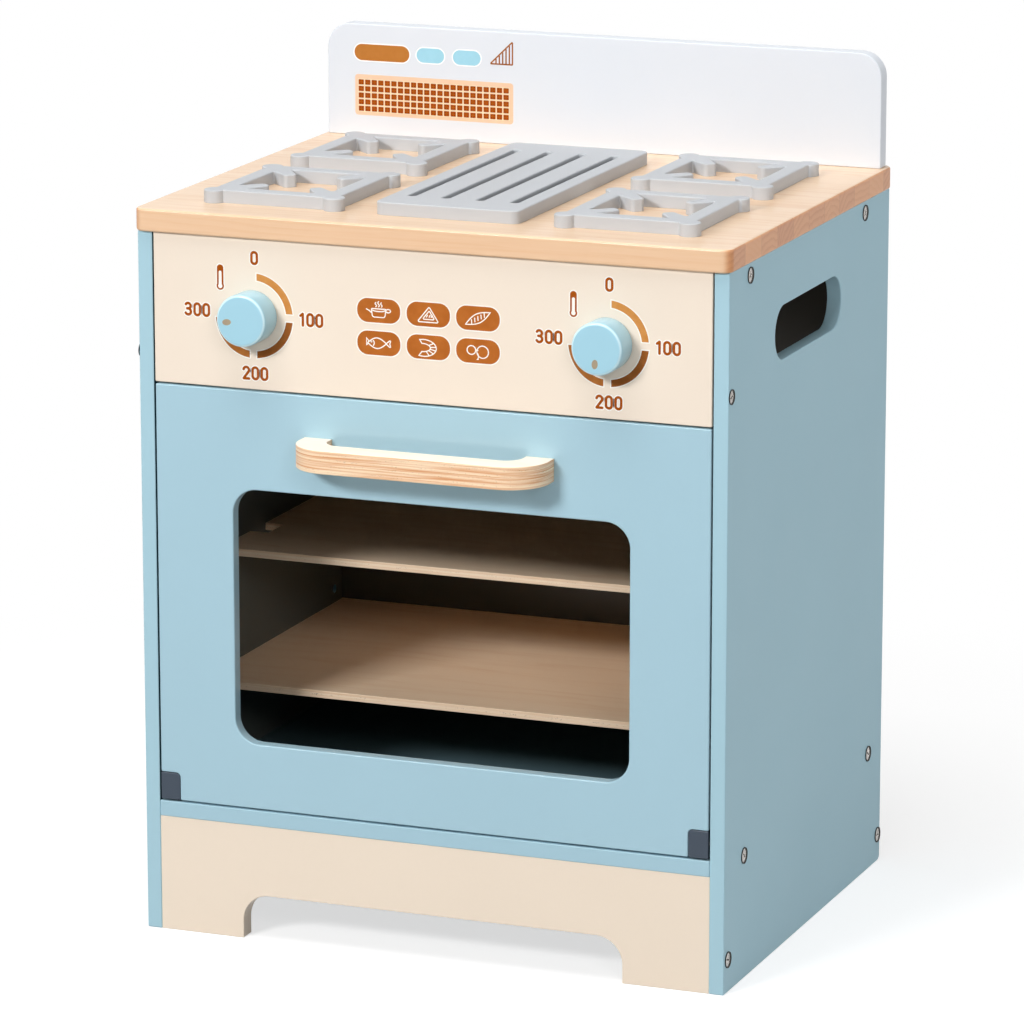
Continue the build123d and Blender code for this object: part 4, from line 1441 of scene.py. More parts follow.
@dataclass
class Door:
    """The drop-down door with its hinge blocks and bow handle.

    Attributes:
        side_rail: width of the door beside the window.
        top_rail: height of the door over the window.
        bottom_rail: height of the door under the window.
        window_radius: rounding of the window's corners.
        ease: rounding of the door's edges.
        block: width and height of a hinge block.
        block_radius: rounding of the block's upper inner corner.
        foot_radius: rounding of its lower inner corner.
        seam: gap between block and door.
        flange: width and height of the block's flange.
        flange_depth: thickness of the flange.
        proud: how far the flange stands behind the door.
        leg: width of the handle's legs.
        bar: depth of the handle's bar.
        shoulder: outer rounding of the handle.
        inner_shoulder: inner rounding of the handle.
        bow_edge: rounding of the corners of the handle's feet.
        bow_ease: rounding of the handle's edges.
    """

    side_rail: float = 53.5
    top_rail: float = 64.8
    bottom_rail: float = 43.3
    window_radius: float = 16.5
    ease: float = 1.0
    block: Pair = (13.6, 18.3)
    block_radius: float = 3.0
    foot_radius: float = 1.5
    seam: float = 0.15
    flange: Pair = (27.0, 31.0)
    flange_depth: float = 1.6
    proud: float = 0.1
    leg: float = 19.0
    bar: float = 18.0
    shoulder: float = 26.0
    inner_shoulder: float = 11.0
    bow_edge: float = 0.75
    bow_ease: float = 0.7

    def panel(self) -> Shape:
        """Door board with its window and a corner cut out for each hinge block."""
        low, high = span("door_panel")
        inner, rise = high[0] - self.block[0], low[2] + self.block[1]
        right = [(inner, low[2]), (inner, rise), (high[0], rise), (high[0], high[2])]
        corners = right + [(-x, z) for x, z in right[::-1]]
        round_off = self.ease + CORNER_SLACK
        radii = [round_off, self.block_radius, round_off, round_off]
        outline = Outline.polygon(corners, radii + radii[::-1], 6)
        window_low = (low[0] + self.side_rail, low[2] + self.bottom_rail)
        window_high = (high[0] - self.side_rail, high[2] - self.top_rail)
        window = Outline.rectangle(window_low, window_high, self.window_radius, 14).as_hole()
        return Board(outline, -high[1], -low[1], Lay.FRONT, (window,)).eased(self.ease).shape()

    def hinge_block(self) -> Shape:
        """Right hinge block with its flange."""
        low, high = span("door_panel")
        inner = high[0] - self.block[0] + self.seam
        rise = low[2] + self.block[1] - self.seam
        radii = (self.foot_radius, 0.7, 0.7, self.block_radius - self.seam)
        outline = Outline.rectangle((inner, low[2]), (high[0], rise), radii, 8)
        block = Board(outline, -high[1], -low[1], Lay.FRONT, ease_low=0.5, ease_high=0.6)
        flange_low = (high[0] - self.flange[0] + self.seam, low[2] + 0.3)
        flange_high = (high[0] - 0.3, low[2] + self.flange[1] - self.seam)
        flange_outline = Outline.rectangle(flange_low, flange_high, (1.0, 1.0, 1.0, self.block_radius), 8)
        back = -high[1] - self.proud
        face = back + self.flange_depth
        flange = Board(flange_outline, back, face, Lay.FRONT, ease_low=0.3, ease_high=0.1)
        return Shape.joined([block.shape(), flange.shape()])

    def handle(self) -> Shape:
        """Bow handle: two legs and a bar with rounded shoulders."""
        low, high = span("handle")
        half, foot, face = high[0], high[1], low[1]
        inner, gap = half - self.leg, face + self.bar
        outside = [(-half, foot), (-half, face), (half, face), (half, foot)]
        inside = [(inner, foot), (inner, gap), (-inner, gap), (-inner, foot)]
        ends = [self.bow_edge]
        radii = ends + [self.shoulder] * 2 + ends * 2 + [self.inner_shoulder] * 2 + ends
        outline = Outline.polygon(outside + inside, radii, 20)
        return Board(outline, low[2], high[2]).eased(self.bow_ease).shape()

    def build(self, shop: Workshop) -> None:
        """Makes the door's pieces and dresses its small metal."""
        paint = shop.finishes
        shop.add("door_board", self.panel(), paint.blue, Body.DOOR, ["door_panel"])
        block = self.hinge_block()
        shop.add("hinge_right", block, paint.hinge, Body.DOOR, ["hinge_block_right"])
        shop.add("hinge_left", block.mirrored(), paint.hinge, Body.DOOR, ["hinge_block_left"])
        shop.add("handle_bow", self.handle(), paint.handle, Body.DOOR, ["handle"])
        shop.dress(paint.steel, "handle_screws", "hinge_block_screws", "strike_stud")


@dataclass
class Knob:
    """One turned knob with its pointer dot.

    Attributes:
        side: left or right.
        body: the body it rides on.
        points_at: angle of the dot, in degrees counter-clockwise from the oven's right.
        ease: rounding of the front rim.
        back_ease: rounding of the rear rim.
        dot_size: length and width of the dot.
        dot_reach: distance of the dot from the axis.
        dot_film: thickness of the dot's ink, in front of the face and in it.
    """

    side: str
    body: Body
    points_at: float
    ease: float = 2.0
    back_ease: float = 0.7
    dot_size: Pair = (6.0, 4.0)
    dot_reach: float = 9.5
    dot_film: float = 0.05

    def knob(self) -> Shape:
        """Turned body: a flat front, a rounded rim and a straight wall."""
        low, high = span(f"knob_{self.side}")
        radius = (high[0] - low[0]) / 2
        length = high[1] - low[1]
        front = round_edge(radius, length, self.ease, inward=True, steps=10)
        back = round_edge(radius, 0.0, -self.back_ease, inward=False, steps=4)
        rings = np.linspace(radius - self.ease, 2.0, 5)[1:]
        face = np.stack([rings, np.full(len(rings), length)], axis=1)
        profile = np.concatenate([face[::-1] * [1.0, 0.0], back, front, face])
        middle = (low + high) / 2
        return turned(lathe(profile, 96)).turned_to((0, -1, 0)).moved((middle[0], high[1], middle[2]))

    def dot(self) -> Shape:
        """Oval pointer mark on the knob's face."""
        low, high = span(f"knob_{self.side}")
        middle = (low + high) / 2
        angle = math.radians(self.points_at)
        spin = np.array([[math.cos(angle), math.sin(angle)], [-math.sin(angle), math.cos(angle)]])
        turn = np.linspace(0.0, 2 * math.pi, 40, endpoint=False)
        ray = np.stack([np.cos(turn), np.sin(turn)], axis=1)
        oval = (ray * self.dot_size / 2 + [self.dot_reach, 0.0]) @ spin + middle[[0, 2]]
        back, face = -low[1] - self.dot_film, -low[1] + self.dot_film
        return Board(Outline(oval, ray @ spin), back, face, Lay.FRONT, ease_low=0.0, ease_high=0.03).shape()

    def build(self, shop: Workshop) -> None:
        """Makes the knob and dresses what holds it."""
        paint = shop.finishes
        shop.add(f"knob_{self.side}_turned", self.knob(), paint.knob_blue, self.body, [f"knob_{self.side}"])
        shop.add(f"knob_{self.side}_dot", self.dot(), paint.dot, self.body, slot="blue_paint")
        shop.dress(paint.rough_wood, f"knob_spindle_{self.side}")
        shop.dress(paint.steel, f"knob_washer_{self.side}", f"knob_screw_{self.side}")


@dataclass
class SideScrews:
    """Domed cross-head screws in the side panels.

    Attributes:
        head_radius: radius of a head.
        head_height: height of the dome.
        front_margin: least distance of a head from the board's front; a head there is smaller.
        slot_reach: how far the cross reaches from the axis.
        slot_half: half the width of the cross's arms.
        slot_depth: depth of the cross.
        shank_radius: radius of the shank.
        length: length under the head.
        shadow_ring_lip: how far the painted shadow ring round a head passes it.
        shadow_ring_depths: place of the painted shadow ring's back and face over the board.
    """

    head_radius: float = 5.0
    head_height: float = 0.45
    front_margin: float = 0.45
    slot_reach: float = 2.9
    slot_half: float = 0.55
    slot_depth: float = 1.0
    shank_radius: float = 1.75
    length: float = 35.0
    shadow_ring_lip: float = 0.3
    shadow_ring_depths: Pair = (-0.05, 0.1)

    def places(self) -> list[Pair]:
        """(y, z) of the screws, from the boards that they hold."""
        control_low, control_high = span("control_panel")
        rail = span("top_rail_front")
        base_low, base_high = span("base_board")
        plinth_low, _ = span("plinth_front")
        rear_low, rear_high = span("plinth_rear")
        front = control_low[1]
        rail_middle = (rail[0][2] + rail[1][2]) / 2
        base_middle = (base_low[2] + base_high[2]) / 2
        return [
            ((control_low[1] + control_high[1]) / 2, control_low[2] + 19.2),
            (front + 38.7, rail_middle),
            (front + 269.0, rail_middle),
            (front + 36.9, base_middle),
            (front + 292.0, base_middle),
            (plinth_low[1] + 7.5, 21.8),
            ((rear_low[1] + rear_high[1]) / 2, 18.8),
        ]

    def screw(self, turn: float) -> Shape:
        """One screw along +Z, its head up; the dome is a sphere's cap less a tapering cross.

        Args:
            turn: angle of the cross in radians.

        Returns:
            The closed shape.
        """
        steps = 96
        sphere = (self.head_radius**2 + self.head_height**2) / (2 * self.head_height)
        shares = [np.linspace(1.0, 0.6, 8)[:-1], np.linspace(0.6, 0.03, 22)]
        radius = np.concatenate(shares) * self.head_radius
        angle = np.linspace(0.0, 2 * math.pi, steps, endpoint=False)
        dome = np.sqrt(sphere**2 - radius**2) - (sphere - self.head_height)
        x = radius[:, None] * np.cos(angle - turn)
        y = radius[:, None] * np.sin(angle - turn)
        arm = np.minimum(np.abs(x), np.abs(y))
        far = np.maximum(np.abs(x), np.abs(y))
        width = np.clip((self.slot_half * (1.15 - 0.35 * far / self.slot_reach) - arm) / 0.22, 0.0, 1.0)
        reach = np.clip((self.slot_reach - far) / 0.5, 0.0, 1.0)
        cross = np.maximum(width * reach, np.clip((1.05 - np.hypot(x, y)) / 0.25, 0.0, 1.0))
        head = dome[:, None] - self.slot_depth * cross
        rows = np.stack([radius[:, None] * np.cos(angle), radius[:, None] * np.sin(angle), head], axis=-1)
        shank, foot = self.shank_radius, -self.length
        under = np.array([[0.4, foot], [shank, foot + 2.0], [shank, 0.0], [self.head_radius - 0.1, 0.0]])
        return turned(np.concatenate([lathe(under, steps), rows]))

    def build(self, shop: Workshop) -> None:
        """Makes the seven screws of each side as one piece, and a ring of painted shadow round each head."""
        low, high = span("side_panel_right")
        places = self.places()
        turns = np.linspace(0.2, 1.5, len(places))
        sizes = [min(self.head_radius, y - low[1] - self.front_margin) for y, _ in places]
        screws = [
            replace(self, head_radius=size).screw(turn).turned_to((1, 0, 0)).moved((high[0], y, z))
            for size, turn, (y, z) in zip(sizes, turns, places)
        ]
        right = Shape.joined(screws)
        steel = shop.finishes.steel
        shop.add("side_screws_right_heads", right, steel, Body.CABINET, ["side_screws_right"])
        shop.add("side_screws_left_heads", right.mirrored(), steel, Body.CABINET, ["side_screws_left"])
        # A dark ring round each head is painted shadow: the shade in the gap round the head.
        rims = [Outline.disc(place, size + self.shadow_ring_lip) for size, place in zip(sizes, places)]
        back, face = high[0] + self.shadow_ring_depths
        shadow_rings = Shape.joined(Board(rim, back, face, Lay.SIDE, ease_high=0.05).shape() for rim in rims)
        shade = shop.finishes.shade
        shop.add("side_screws_right_shadow_rings", shadow_rings, shade, Body.CABINET, slot="steel")
        shop.add("side_screws_left_shadow_rings", shadow_rings.mirrored(), shade, Body.CABINET, slot="steel")


# Prints


def arc_path(centre: Place, radii: Place, start: float, end: float, steps: int = 16) -> np.ndarray:
    """(steps + 1, 2) points of an elliptic arc between two angles in degrees."""
    angle = np.radians(np.linspace(start, end, steps + 1))
    return np.stack([centre[0] + radii[0] * np.cos(angle), centre[1] + radii[1] * np.sin(angle)], axis=1)


def line_path(*points: Place) -> np.ndarray:
    """Straight stretches through a few points."""
    return np.array(points, float)


@dataclass(frozen=True)
class Stroke:
    """One pen stroke of a print, in millimetres from the print's middle."""

    path: np.ndarray
    closed: bool = False


class Digit(Enum):
    """Digits of the dial, each as a few strokes inside a cell 3.75 wide and 7.45 high."""

    ZERO = "0"
    ONE = "1"
    TWO = "2"
    THREE = "3"

    def strokes(self) -> list[Stroke]:
        """The digit's strokes about the middle of its cell."""
        if self is Digit.ZERO:
            return [Stroke(Outline.stadium((0.0, 0.0), 3.75, 7.45, 10).points, closed=True)]
        if self is Digit.ONE:
            flag, stem = line_path((-1.35, 2.45), (0.25, 3.68)), line_path((0.25, 3.68), (0.25, -3.72))
            return [Stroke(flag), Stroke(stem)]
        if self is Digit.TWO:
            bow = arc_path((0.0, 1.85), (1.87, 1.87), 170.0, -32.0)
            lean = line_path((-1.75, -3.62))
            return [Stroke(np.concatenate([bow, lean])), Stroke(line_path((-1.8, -3.72), (1.9, -3.72)))]
        upper = arc_path((-0.1, 1.93), (1.78, 1.79), 150.0, -88.0)
        lower = arc_path((-0.1, -1.78), (1.95, 1.94), 88.0, -152.0)
        return [Stroke(upper), Stroke(lower), Stroke(line_path((-0.75, 0.15), (0.1, 0.15)))]


@dataclass
class Press:
    """Prints thin films of ink on an upright face.

    Attributes:
        shop: where the pieces are made.
        face: the printed face, as its distance in front of the origin.
        slot: the record's material slot of the printed board.
        film: thickness of one film.
    """

    shop: Workshop
    face: float
    slot: str
    film: float = 0.05

    def _heights(self, layer: int) -> Pair:
        """Back and face of the film of one layer."""
        return self.face - self.film, self.face + self.film * layer

    def strokes(self, strokes: Iterable[Stroke], middle: Place, half_width: float, layer: int) -> Shape:
        """Strokes as one shape about a middle."""
        low, high = self._heights(layer)
        offset = np.asarray(middle, float)
        return Shape.joined(
            ribbon(stroke.path + offset, half_width, low, high + FILM_STEP * place, Lay.FRONT, stroke.closed)
            for place, stroke in enumerate(strokes)
        )

    def patch(self, outline: Outline, layer: int) -> Shape:
        """A filled film inside an outline."""
        return Board(outline, *self._heights(layer), Lay.FRONT).eased(0.0, 1).shape().flat()

    def tube(self, middle: Place, size: Place, bulb: float, layer: int) -> list[Shape]:
        """An upright tube with a bulb at its foot.

        Args:
            middle: x of the tube, height of the bulb's centre and height of the tube's middle.
            size: width and height of the tube.
            bulb: radius of the bulb.
            layer: which film.

        Returns:
            The tube and the bulb, a film step apart.
        """
        x, foot, waist = middle
        stem = self.patch(Outline.stadium((x, waist), *size), layer)
        ball = self.patch(Outline.disc((x, foot), bulb), layer)
        return [stem, ball.moved((0.0, -FILM_STEP, 0.0))]

    def lay_down(self, name: str, shapes: Iterable[Shape], ink: Ink) -> None:
        """Makes one piece of several films in one ink."""
        self.shop.add(name, Shape.joined(shapes).flat(), ink, Body.CABINET, slot=self.slot)


@dataclass
class DialPrint:
    """The scale round one knob: three quarter arcs, four numbers and a thermometer.

    Attributes:
        outer: outer radius of the arcs.
        inner: inner radius of the arcs.
        gap: half the gap between two arcs.
        squeeze: how much narrower the lower left quarter is.
        rim: how far the pale rim passes an ink.
        pen: half the width of a digit's stroke.
        advance: distance between two digits.
        narrow: how much closer the digit after a 1 stands.
        number_reach: distance of the upper and lower number from the axis.
        number_side: distance of the side numbers from the axis.
        number_shift: how far right of the axis three of the numbers stand.
        number_lift: how far over the axis the left number stands.
        glass_place: distance of the thermometer to the left of the axis, and its height over it.
        glass_size: width and height of the thermometer's tube.
        glass_bulb: radius of its bulb.
        liquid_size: width and height of the pale tube inside.
        liquid_bulb: radius of the pale bulb inside.
        liquid_rise: height of the pale tube's middle over the bulb.
    """

    outer: float = 27.5
    inner: float = 23.0
    gap: float = 2.7
    squeeze: float = 0.945
    rim: float = 0.75
    pen: float = 0.84
    advance: float = 6.3
    narrow: float = 1.0
    number_reach: float = 37.3
    number_side: float = 40.0
    number_shift: float = 1.2
    number_lift: float = 1.3
    glass_place: Pair = (22.5, 17.7)
    glass_size: Pair = (4.4, 16.1)
    glass_bulb: float = 2.55
    liquid_size: Pair = (2.0, 10.6)
    liquid_bulb: float = 1.45
    liquid_rise: float = 4.6

    def arc(self, middle: np.ndarray, quarter: int, grow: float) -> Outline:
        """Quarter of a ring whose ends are cut along the axes.

        Args:
            middle: the knob's axis.
            quarter: which quarter, counter-clockwise from the upper right.
            grow: how far the outline is grown on all sides.

        Returns:
            The outline; its two arcs run from asin(gap / r) to 90 degrees less that.
        """
        outer, inner, gap = self.outer + grow, self.inner - grow, self.gap - grow
        first, second = math.asin(gap / outer), math.asin(gap / inner)
        turn = quarter * math.pi / 2
        outline = Outline.of_arcs(
            np.broadcast_to(middle, (2, 2)),
            np.array([outer, inner]),
            np.array([first, math.pi / 2 - second]) + turn,
            np.array([math.pi / 2 - 2 * first, 2 * second - math.pi / 2]),
            32,
        )
        width = self.squeeze if quarter == 2 else 1.0
        return Outline(middle + (outline.points - middle) * [width, 1.0], outline.normals)

    def number(self, press: Press, text: str, middle: Place, half_width: float, layer: int) -> Shape:
        """A number centred on a place; a 1 stands closer to its neighbour."""
        steps = [0.0] + [self.advance - self.narrow * (letter == Digit.ONE.value) for letter in text[:-1]]
        places = np.cumsum(steps) - sum(steps) / 2
        return Shape.joined(
            press.strokes(Digit(letter).strokes(), (middle[0] + place, middle[1]), half_width, layer)
            for place, letter in zip(places, text)
        )

    def thermometer(self, press: Press, middle: np.ndarray, grow: float, layer: int) -> list[Shape]:
        """A tube with a bulb at its foot, grown on all sides."""
        x, foot = middle + [-1.0, 1.0] * np.array(self.glass_place)
        width, height = self.glass_size
        waist = foot + (height - width) / 2
        size = (width + 2 * grow, height + 2 * grow)
        return press.tube((x, foot, waist), size, self.glass_bulb + grow, layer)

    def build(self, press: Press, side: str, inks: Finishes) -> None:
        """Prints the scale round one knob."""
        low, high = span(f"knob_{side}")
        middle = ((low + high) / 2)[[0, 2]]
        # The dark arc's ink is darker than the middle arc's: painted shadow of the knob on the lower right
        # quarter.
        quarters = {"light": (0, inks.arc_light), "dark": (3, inks.arc_dark), "middle": (2, inks.arc_middle)}
        numbers = {
            "0": middle + [self.number_shift, self.number_reach],
            "100": middle + [self.number_side, 0.0],
            "200": middle + [self.number_shift, -self.number_reach],
            "300": middle + [self.number_shift - self.number_side, self.number_lift],
        }
        pale = [press.patch(self.arc(middle, quarter, self.rim), 1) for quarter, _ in quarters.values()]
        pale += [self.number(press, text, place, self.pen + self.rim, 1) for text, place in numbers.items()]
        pale += self.thermometer(press, middle, self.rim, 1)
        press.lay_down(f"dial_{side}_rims", pale, inks.pale)
        for tone, (quarter, ink) in quarters.items():
            film = press.patch(self.arc(middle, quarter, 0.0), 2)
            press.lay_down(f"dial_{side}_{tone}_arc", [film], ink)
        ink = [self.number(press, text, place, self.pen, 2) for text, place in numbers.items()]
        ink += self.thermometer(press, middle, 0.0, 2)
        press.lay_down(f"dial_{side}_numbers", ink, inks.brown)
        x, foot = middle + [-1.0, 1.0] * np.array(self.glass_place)
        liquid = press.tube((x, foot, foot + self.liquid_rise), self.liquid_size, self.liquid_bulb, 3)
        press.lay_down(f"dial_{side}_glass", liquid, inks.pale)


class Pictogram(Enum):
    """Line drawings of food on the six printed buttons."""

    POT = "pot"
    SLICE = "slice"
    LOAF = "loaf"
    FISH = "fish"
    ROLL = "roll"
    FRUIT = "fruit"

    def strokes(self) -> list[Stroke]:
        """The drawing's strokes about the middle of its button."""
        return getattr(self, f"_{self.value}")()

    @staticmethod
    def _lens(length: float, width: float, tilt: float) -> Stroke:
        """Pointed oval: y = width * sin(pi * s) over its length, turned by a tilt in degrees."""
        share = np.linspace(0.0, 1.0, 20)
        upper = np.stack([(share - 0.5) * length, width * np.sin(math.pi * share)], axis=1)
        path = np.concatenate([upper, upper[-2:0:-1] * [1.0, -1.0]])
        angle = math.radians(tilt)
        turn = np.array([[math.cos(angle), math.sin(angle)], [-math.sin(angle), math.cos(angle)]])
        return Stroke(path @ turn, closed=True)

    @staticmethod
    def _pot() -> list[Stroke]:
        """A pot with a long and a short handle under three curls of steam."""
        corners = [(-4.3, -4.2), (4.3, -4.2), (4.9, 1.2), (-4.9, 1.2)]
        wall = Outline.polygon(corners, (1.6, 1.6, 0.4, 0.4), 5).points
        rise = np.linspace(0.0, 1.0, 10)
        steam = [
            Stroke(np.stack([x + 0.5 * np.sin(2 * math.pi * rise), 2.5 + 3.4 * rise * tall], axis=1))
            for x, tall in ((-1.9, 0.8), (0.0, 1.0), (1.9, 0.8))
        ]
        long_handle = Stroke(line_path((-5.2, -1.2), (-6.4, -0.2), (-8.3, 0.7)))
        short_handle = Stroke(arc_path((6.5, 0.2), (1.6, 1.05), 205.0, 520.0, 14))
        lid = Stroke(arc_path((0.0, 0.2), (4.0, 0.7), 180.0, 360.0, 10))
        return [Stroke(wall, closed=True), lid, long_handle, short_handle, *steam]

    @staticmethod
    def _slice() -> list[Stroke]:
        """A three-cornered slice with its filling."""
        edge = Outline.polygon([(-7.4, -4.9), (7.0, -4.9), (0.6, 4.9)], 0.6, 4).points
        filling = Outline.polygon([(-3.9, -3.1), (4.2, -3.1), (0.7, 2.4)], 0.5, 3).points
        crumbs = [Stroke(line_path((x, -1.6), (x + 0.7, -0.4))) for x in (-1.2, 0.6, 2.0)]
        return [Stroke(edge, closed=True), Stroke(filling, closed=True), *crumbs]

    @staticmethod
    def _loaf() -> list[Stroke]:
        """A long loaf with slanting cuts."""
        angle = math.radians(27.0)
        along = np.array([math.cos(angle), math.sin(angle)])
        across = np.array([-math.sin(angle), math.cos(angle)])
        cut = np.stack([-1.1 * across - 0.4 * along, 1.1 * across + 0.5 * along])
        cuts = [Stroke(place * along + cut) for place in (-4.8, -2.4, 0.0, 2.4, 4.8)]
        return [Pictogram._lens(18.6, 2.9, 27.0), *cuts]

    @staticmethod
    def _fish() -> list[Stroke]:
        """A fish with its tail, gill and eye."""
        body = Stroke(Pictogram._lens(12.8, 3.4, 0.0).path + [-1.2, 0.0], closed=True)
        tail = Outline.polygon([(4.9, 0.0), (8.4, -2.9), (7.5, 0.0), (8.4, 2.9)], 0.4, 3).points
        gill = Stroke(arc_path((-5.0, 0.0), (1.9, 2.1), -48.0, 48.0, 8))
        eye = Stroke(arc_path((-5.0, 0.75), (0.3, 0.3), 0.0, 300.0, 8))
        lips = Stroke(line_path((-6.6, 1.0), (-8.4, 3.0), (-8.3, -1.4), (-7.2, -0.5)))
        return [body, Stroke(tail, closed=True), gill, eye, lips]

    @staticmethod
    def _roll() -> list[Stroke]:
        """A crescent roll with its folds."""
        back, belly = (-3.2, -0.6), (-3.8, -0.4)
        outer = arc_path(back, (8.6, 5.4), 108.0, -112.0, 24)
        inner = arc_path(belly, (5.2, 2.6), -96.0, 96.0, 16)
        turns = (-64.0, -40.0, -16.0, 10.0, 38.0)
        near = [arc_path(belly, (5.2, 2.6), turn, turn, 1)[0] for turn in turns]
        far = [arc_path(back, (8.3, 5.1), turn, turn, 1)[0] for turn in turns]
        folds = [Stroke(np.stack(ends)) for ends in zip(near, far)]
        return [Stroke(np.concatenate([outer, inner]), closed=True), *folds]

    @staticmethod
    def _fruit() -> list[Stroke]:
        """Two round fruits on a forked stalk."""
        small = Stroke(arc_path((-4.4, 0.5), (2.9, 2.8), 0.0, 354.0, 24), closed=True)
        large = Stroke(arc_path((3.2, -0.4), (3.9, 3.9), 0.0, 354.0, 28), closed=True)
        stalk = Stroke(line_path((-1.6, 0.2), (-0.7, 0.9), (0.0, 0.6)))
        bow = arc_path((-0.9, -3.3), (1.3, 2.1), 60.0, -70.0, 8)
        return [small, large, stalk, Stroke(np.concatenate([bow, line_path((0.2, -5.2))]))]


@dataclass
class ButtonPrint:
    """Six printed buttons between the knobs.

    Attributes:
        size: width and height of a button.
        columns: x of the columns.
        rows: height of the rows over the panel's lower edge.
        rim: how far the pale rim passes a button.
        pen: half the width of the drawings' strokes.
        roundness: radius of a button's corners as a share of its height.
    """

    size: Pair = (29.3, 15.4)
    columns: tuple[float, float, float] = (-33.5, 0.2, 33.7)
    rows: Pair = (57.4, 36.5)
    rim: float = 0.8
    pen: float = 0.36
    roundness: float = 0.46

    def build(self, press: Press, inks: Finishes) -> None:
        """Prints the buttons and their drawings."""
        level = span("control_panel")[0][2]
        places = [np.array([x, level + z]) for z in self.rows for x in self.columns]
        films = {"rims": (self.rim, 1, inks.pale), "inks": (0.0, 2, inks.pill)}
        for name, (grow, layer, ink) in films.items():
            half = np.array(self.size) / 2 + grow
            corner = self.size[1] * self.roundness + grow
            rims = [Outline.rectangle(place - half, place + half, corner, 12) for place in places]
            press.lay_down(f"button_{name}", [press.patch(rim, layer) for rim in rims], ink)
        pictures = zip(Pictogram, places)
        drawings = [press.strokes(picture.strokes(), place, self.pen, 3) for picture, place in pictures]
        press.lay_down("button_drawings", drawings, inks.pale)


@dataclass
class SplashPrint:
    """The printed display on the backsplash: a grid of squares, three pills and a ramp.

    Heights are over the worktop.

    Attributes:
        panel: x and height of the panel's low and high corner.
        square: width and height of one square.
        first: x and height of the first square's low corner.
        pitch: distance between squares each way.
        counts: squares in a row and rows.
        border: how far the pale backing passes the squares.
        halo: how far a pale rim passes a pill.
        cross_inset: how far a cross stays inside its square.
        cross_pen: half the width of a cross's strokes.
        pills: x, height, width and height of each pill, the brown one first.
        ramp_box: left and right end, foot and peak of the ramp.
        ramp_margin: distance of the first and last bar from its ends, and of a bar from its edges.
        ramp_bars: number of bars.
        ramp_pen: half the width of its strokes.
    """

    panel: tuple[float, float, float, float] = (-178.2, 14.0, -62.3, 42.0)
    square: Pair = (3.85, 3.5)
    first: Pair = (-175.6, 16.75)
    pitch: Pair = (4.83, 4.55)
    counts: tuple[int, int] = (23, 5)
    border: float = 0.6
    halo: float = 0.8
    cross_inset: float = 0.3
    cross_pen: float = 0.1
    pills: tuple[tuple[float, float, float, float], ...] = (
        (-158.3, 57.3, 40.4, 11.2),
        (-122.7, 57.5, 20.2, 10.0),
        (-96.1, 57.5, 20.2, 10.0),
    )
    ramp_box: tuple[float, float, float, float] = (-79.0, -62.9, 54.6, 70.1)
    ramp_margin: tuple[float, float, float] = (4.2, 2.2, 0.8)
    ramp_bars: int = 5
    ramp_pen: float = 0.5

    def cells(self, level: float) -> np.ndarray:
        """(n, 2) low corners of the squares, row by row."""
        row, column = np.meshgrid(np.arange(self.counts[1]), np.arange(self.counts[0]), indexing="ij")
        places = np.stack([column.ravel(), row.ravel()], axis=1) * self.pitch
        return places + self.first + [0.0, level]

    def crosses(self, press: Press, level: float) -> list[Shape]:
        """A faint cross over each square."""
        half = np.array(self.square) / 2
        bars = [np.array([-arm, arm]) for arm in np.diag(half - self.cross_inset)]
        return [
            press.strokes([Stroke(bar + low + half) for bar in bars], (0.0, 0.0), self.cross_pen, 4)
            for low in self.cells(level)
        ]

    def ramp(self, level: float) -> list[Stroke]:
        """A rising triangle filled with upright bars."""
        left, right, foot, peak = np.array(self.ramp_box) + [0.0, 0.0, level, level]
        first, last, inset = self.ramp_margin
        edge = Outline.polygon([(left, foot), (right, foot), (right, peak)], 0.35, 3).points
        places = np.linspace(left + first, right - last, self.ramp_bars)
        tops = foot + (peak - foot) * (places - left) / (right - left) - inset
        bars = [Stroke(line_path((x, foot + inset), (x, top))) for x, top in zip(places, tops)]
        return [Stroke(edge, closed=True), *bars]

    def build(self, shop: Workshop) -> None:
        """Prints the display."""
        inks = shop.finishes
        press = Press(shop, -span("backsplash")[0][1], "white_paint")
        level = span("worktop")[1][2]
        lift = np.array([0.0, level])
        panel = Outline.rectangle(np.array(self.panel[:2]) + lift, np.array(self.panel[2:]) + lift, 2.2)
        press.lay_down("display_panel", [press.patch(panel, 1)], inks.peach)
        low = np.array(self.first) + lift - self.border
        reach = np.array(self.pitch) * (np.array(self.counts) - 1) + self.square + 2 * self.border
        backing = Outline.rectangle(low, low + reach, 0.5)
        press.lay_down("display_backing", [press.patch(backing, 2)], inks.straw)
        squares = [Outline.rectangle(cell, cell + self.square, 0.35, 2) for cell in self.cells(level)]
        press.lay_down("display_squares", [press.patch(square, 3) for square in squares], inks.rust)
        press.lay_down("display_crosses", self.crosses(press, level), inks.pill)
        halo = 2 * self.halo
        pills = [((x, level + z), wide, high) for x, z, wide, high in self.pills]
        rims = [press.patch(Outline.stadium(at, wide + halo, high + halo), 1) for at, wide, high in pills]
        press.lay_down("display_rims", rims, inks.halo)
        brown, *blue = [press.patch(Outline.stadium(*pill), 2) for pill in pills]
        press.lay_down("display_brown_pill", [brown], inks.caramel)
        press.lay_down("display_blue_pills", blue, inks.sky)
        ramp = press.strokes(self.ramp(level), (0.0, 0.0), self.ramp_pen, 1)
        press.lay_down("display_ramp", [ramp], inks.arc_dark)


# Studio


@dataclass(frozen=True)
class Softbox:
    """A flat rectangular lamp that looks at the oven.

    Attributes:
        name: the lamp's name.
        azimuth: where it stands, in degrees to the oven's right of straight ahead.
        elevation: its height as an angle.
        distance: metres from the oven.
        width: metres along its level side.
        height: metres along its other side.
        power: watts.
    """

    name: str
    azimuth: float
    elevation: float
    distance: float
    width: float
    height: float
    power: float


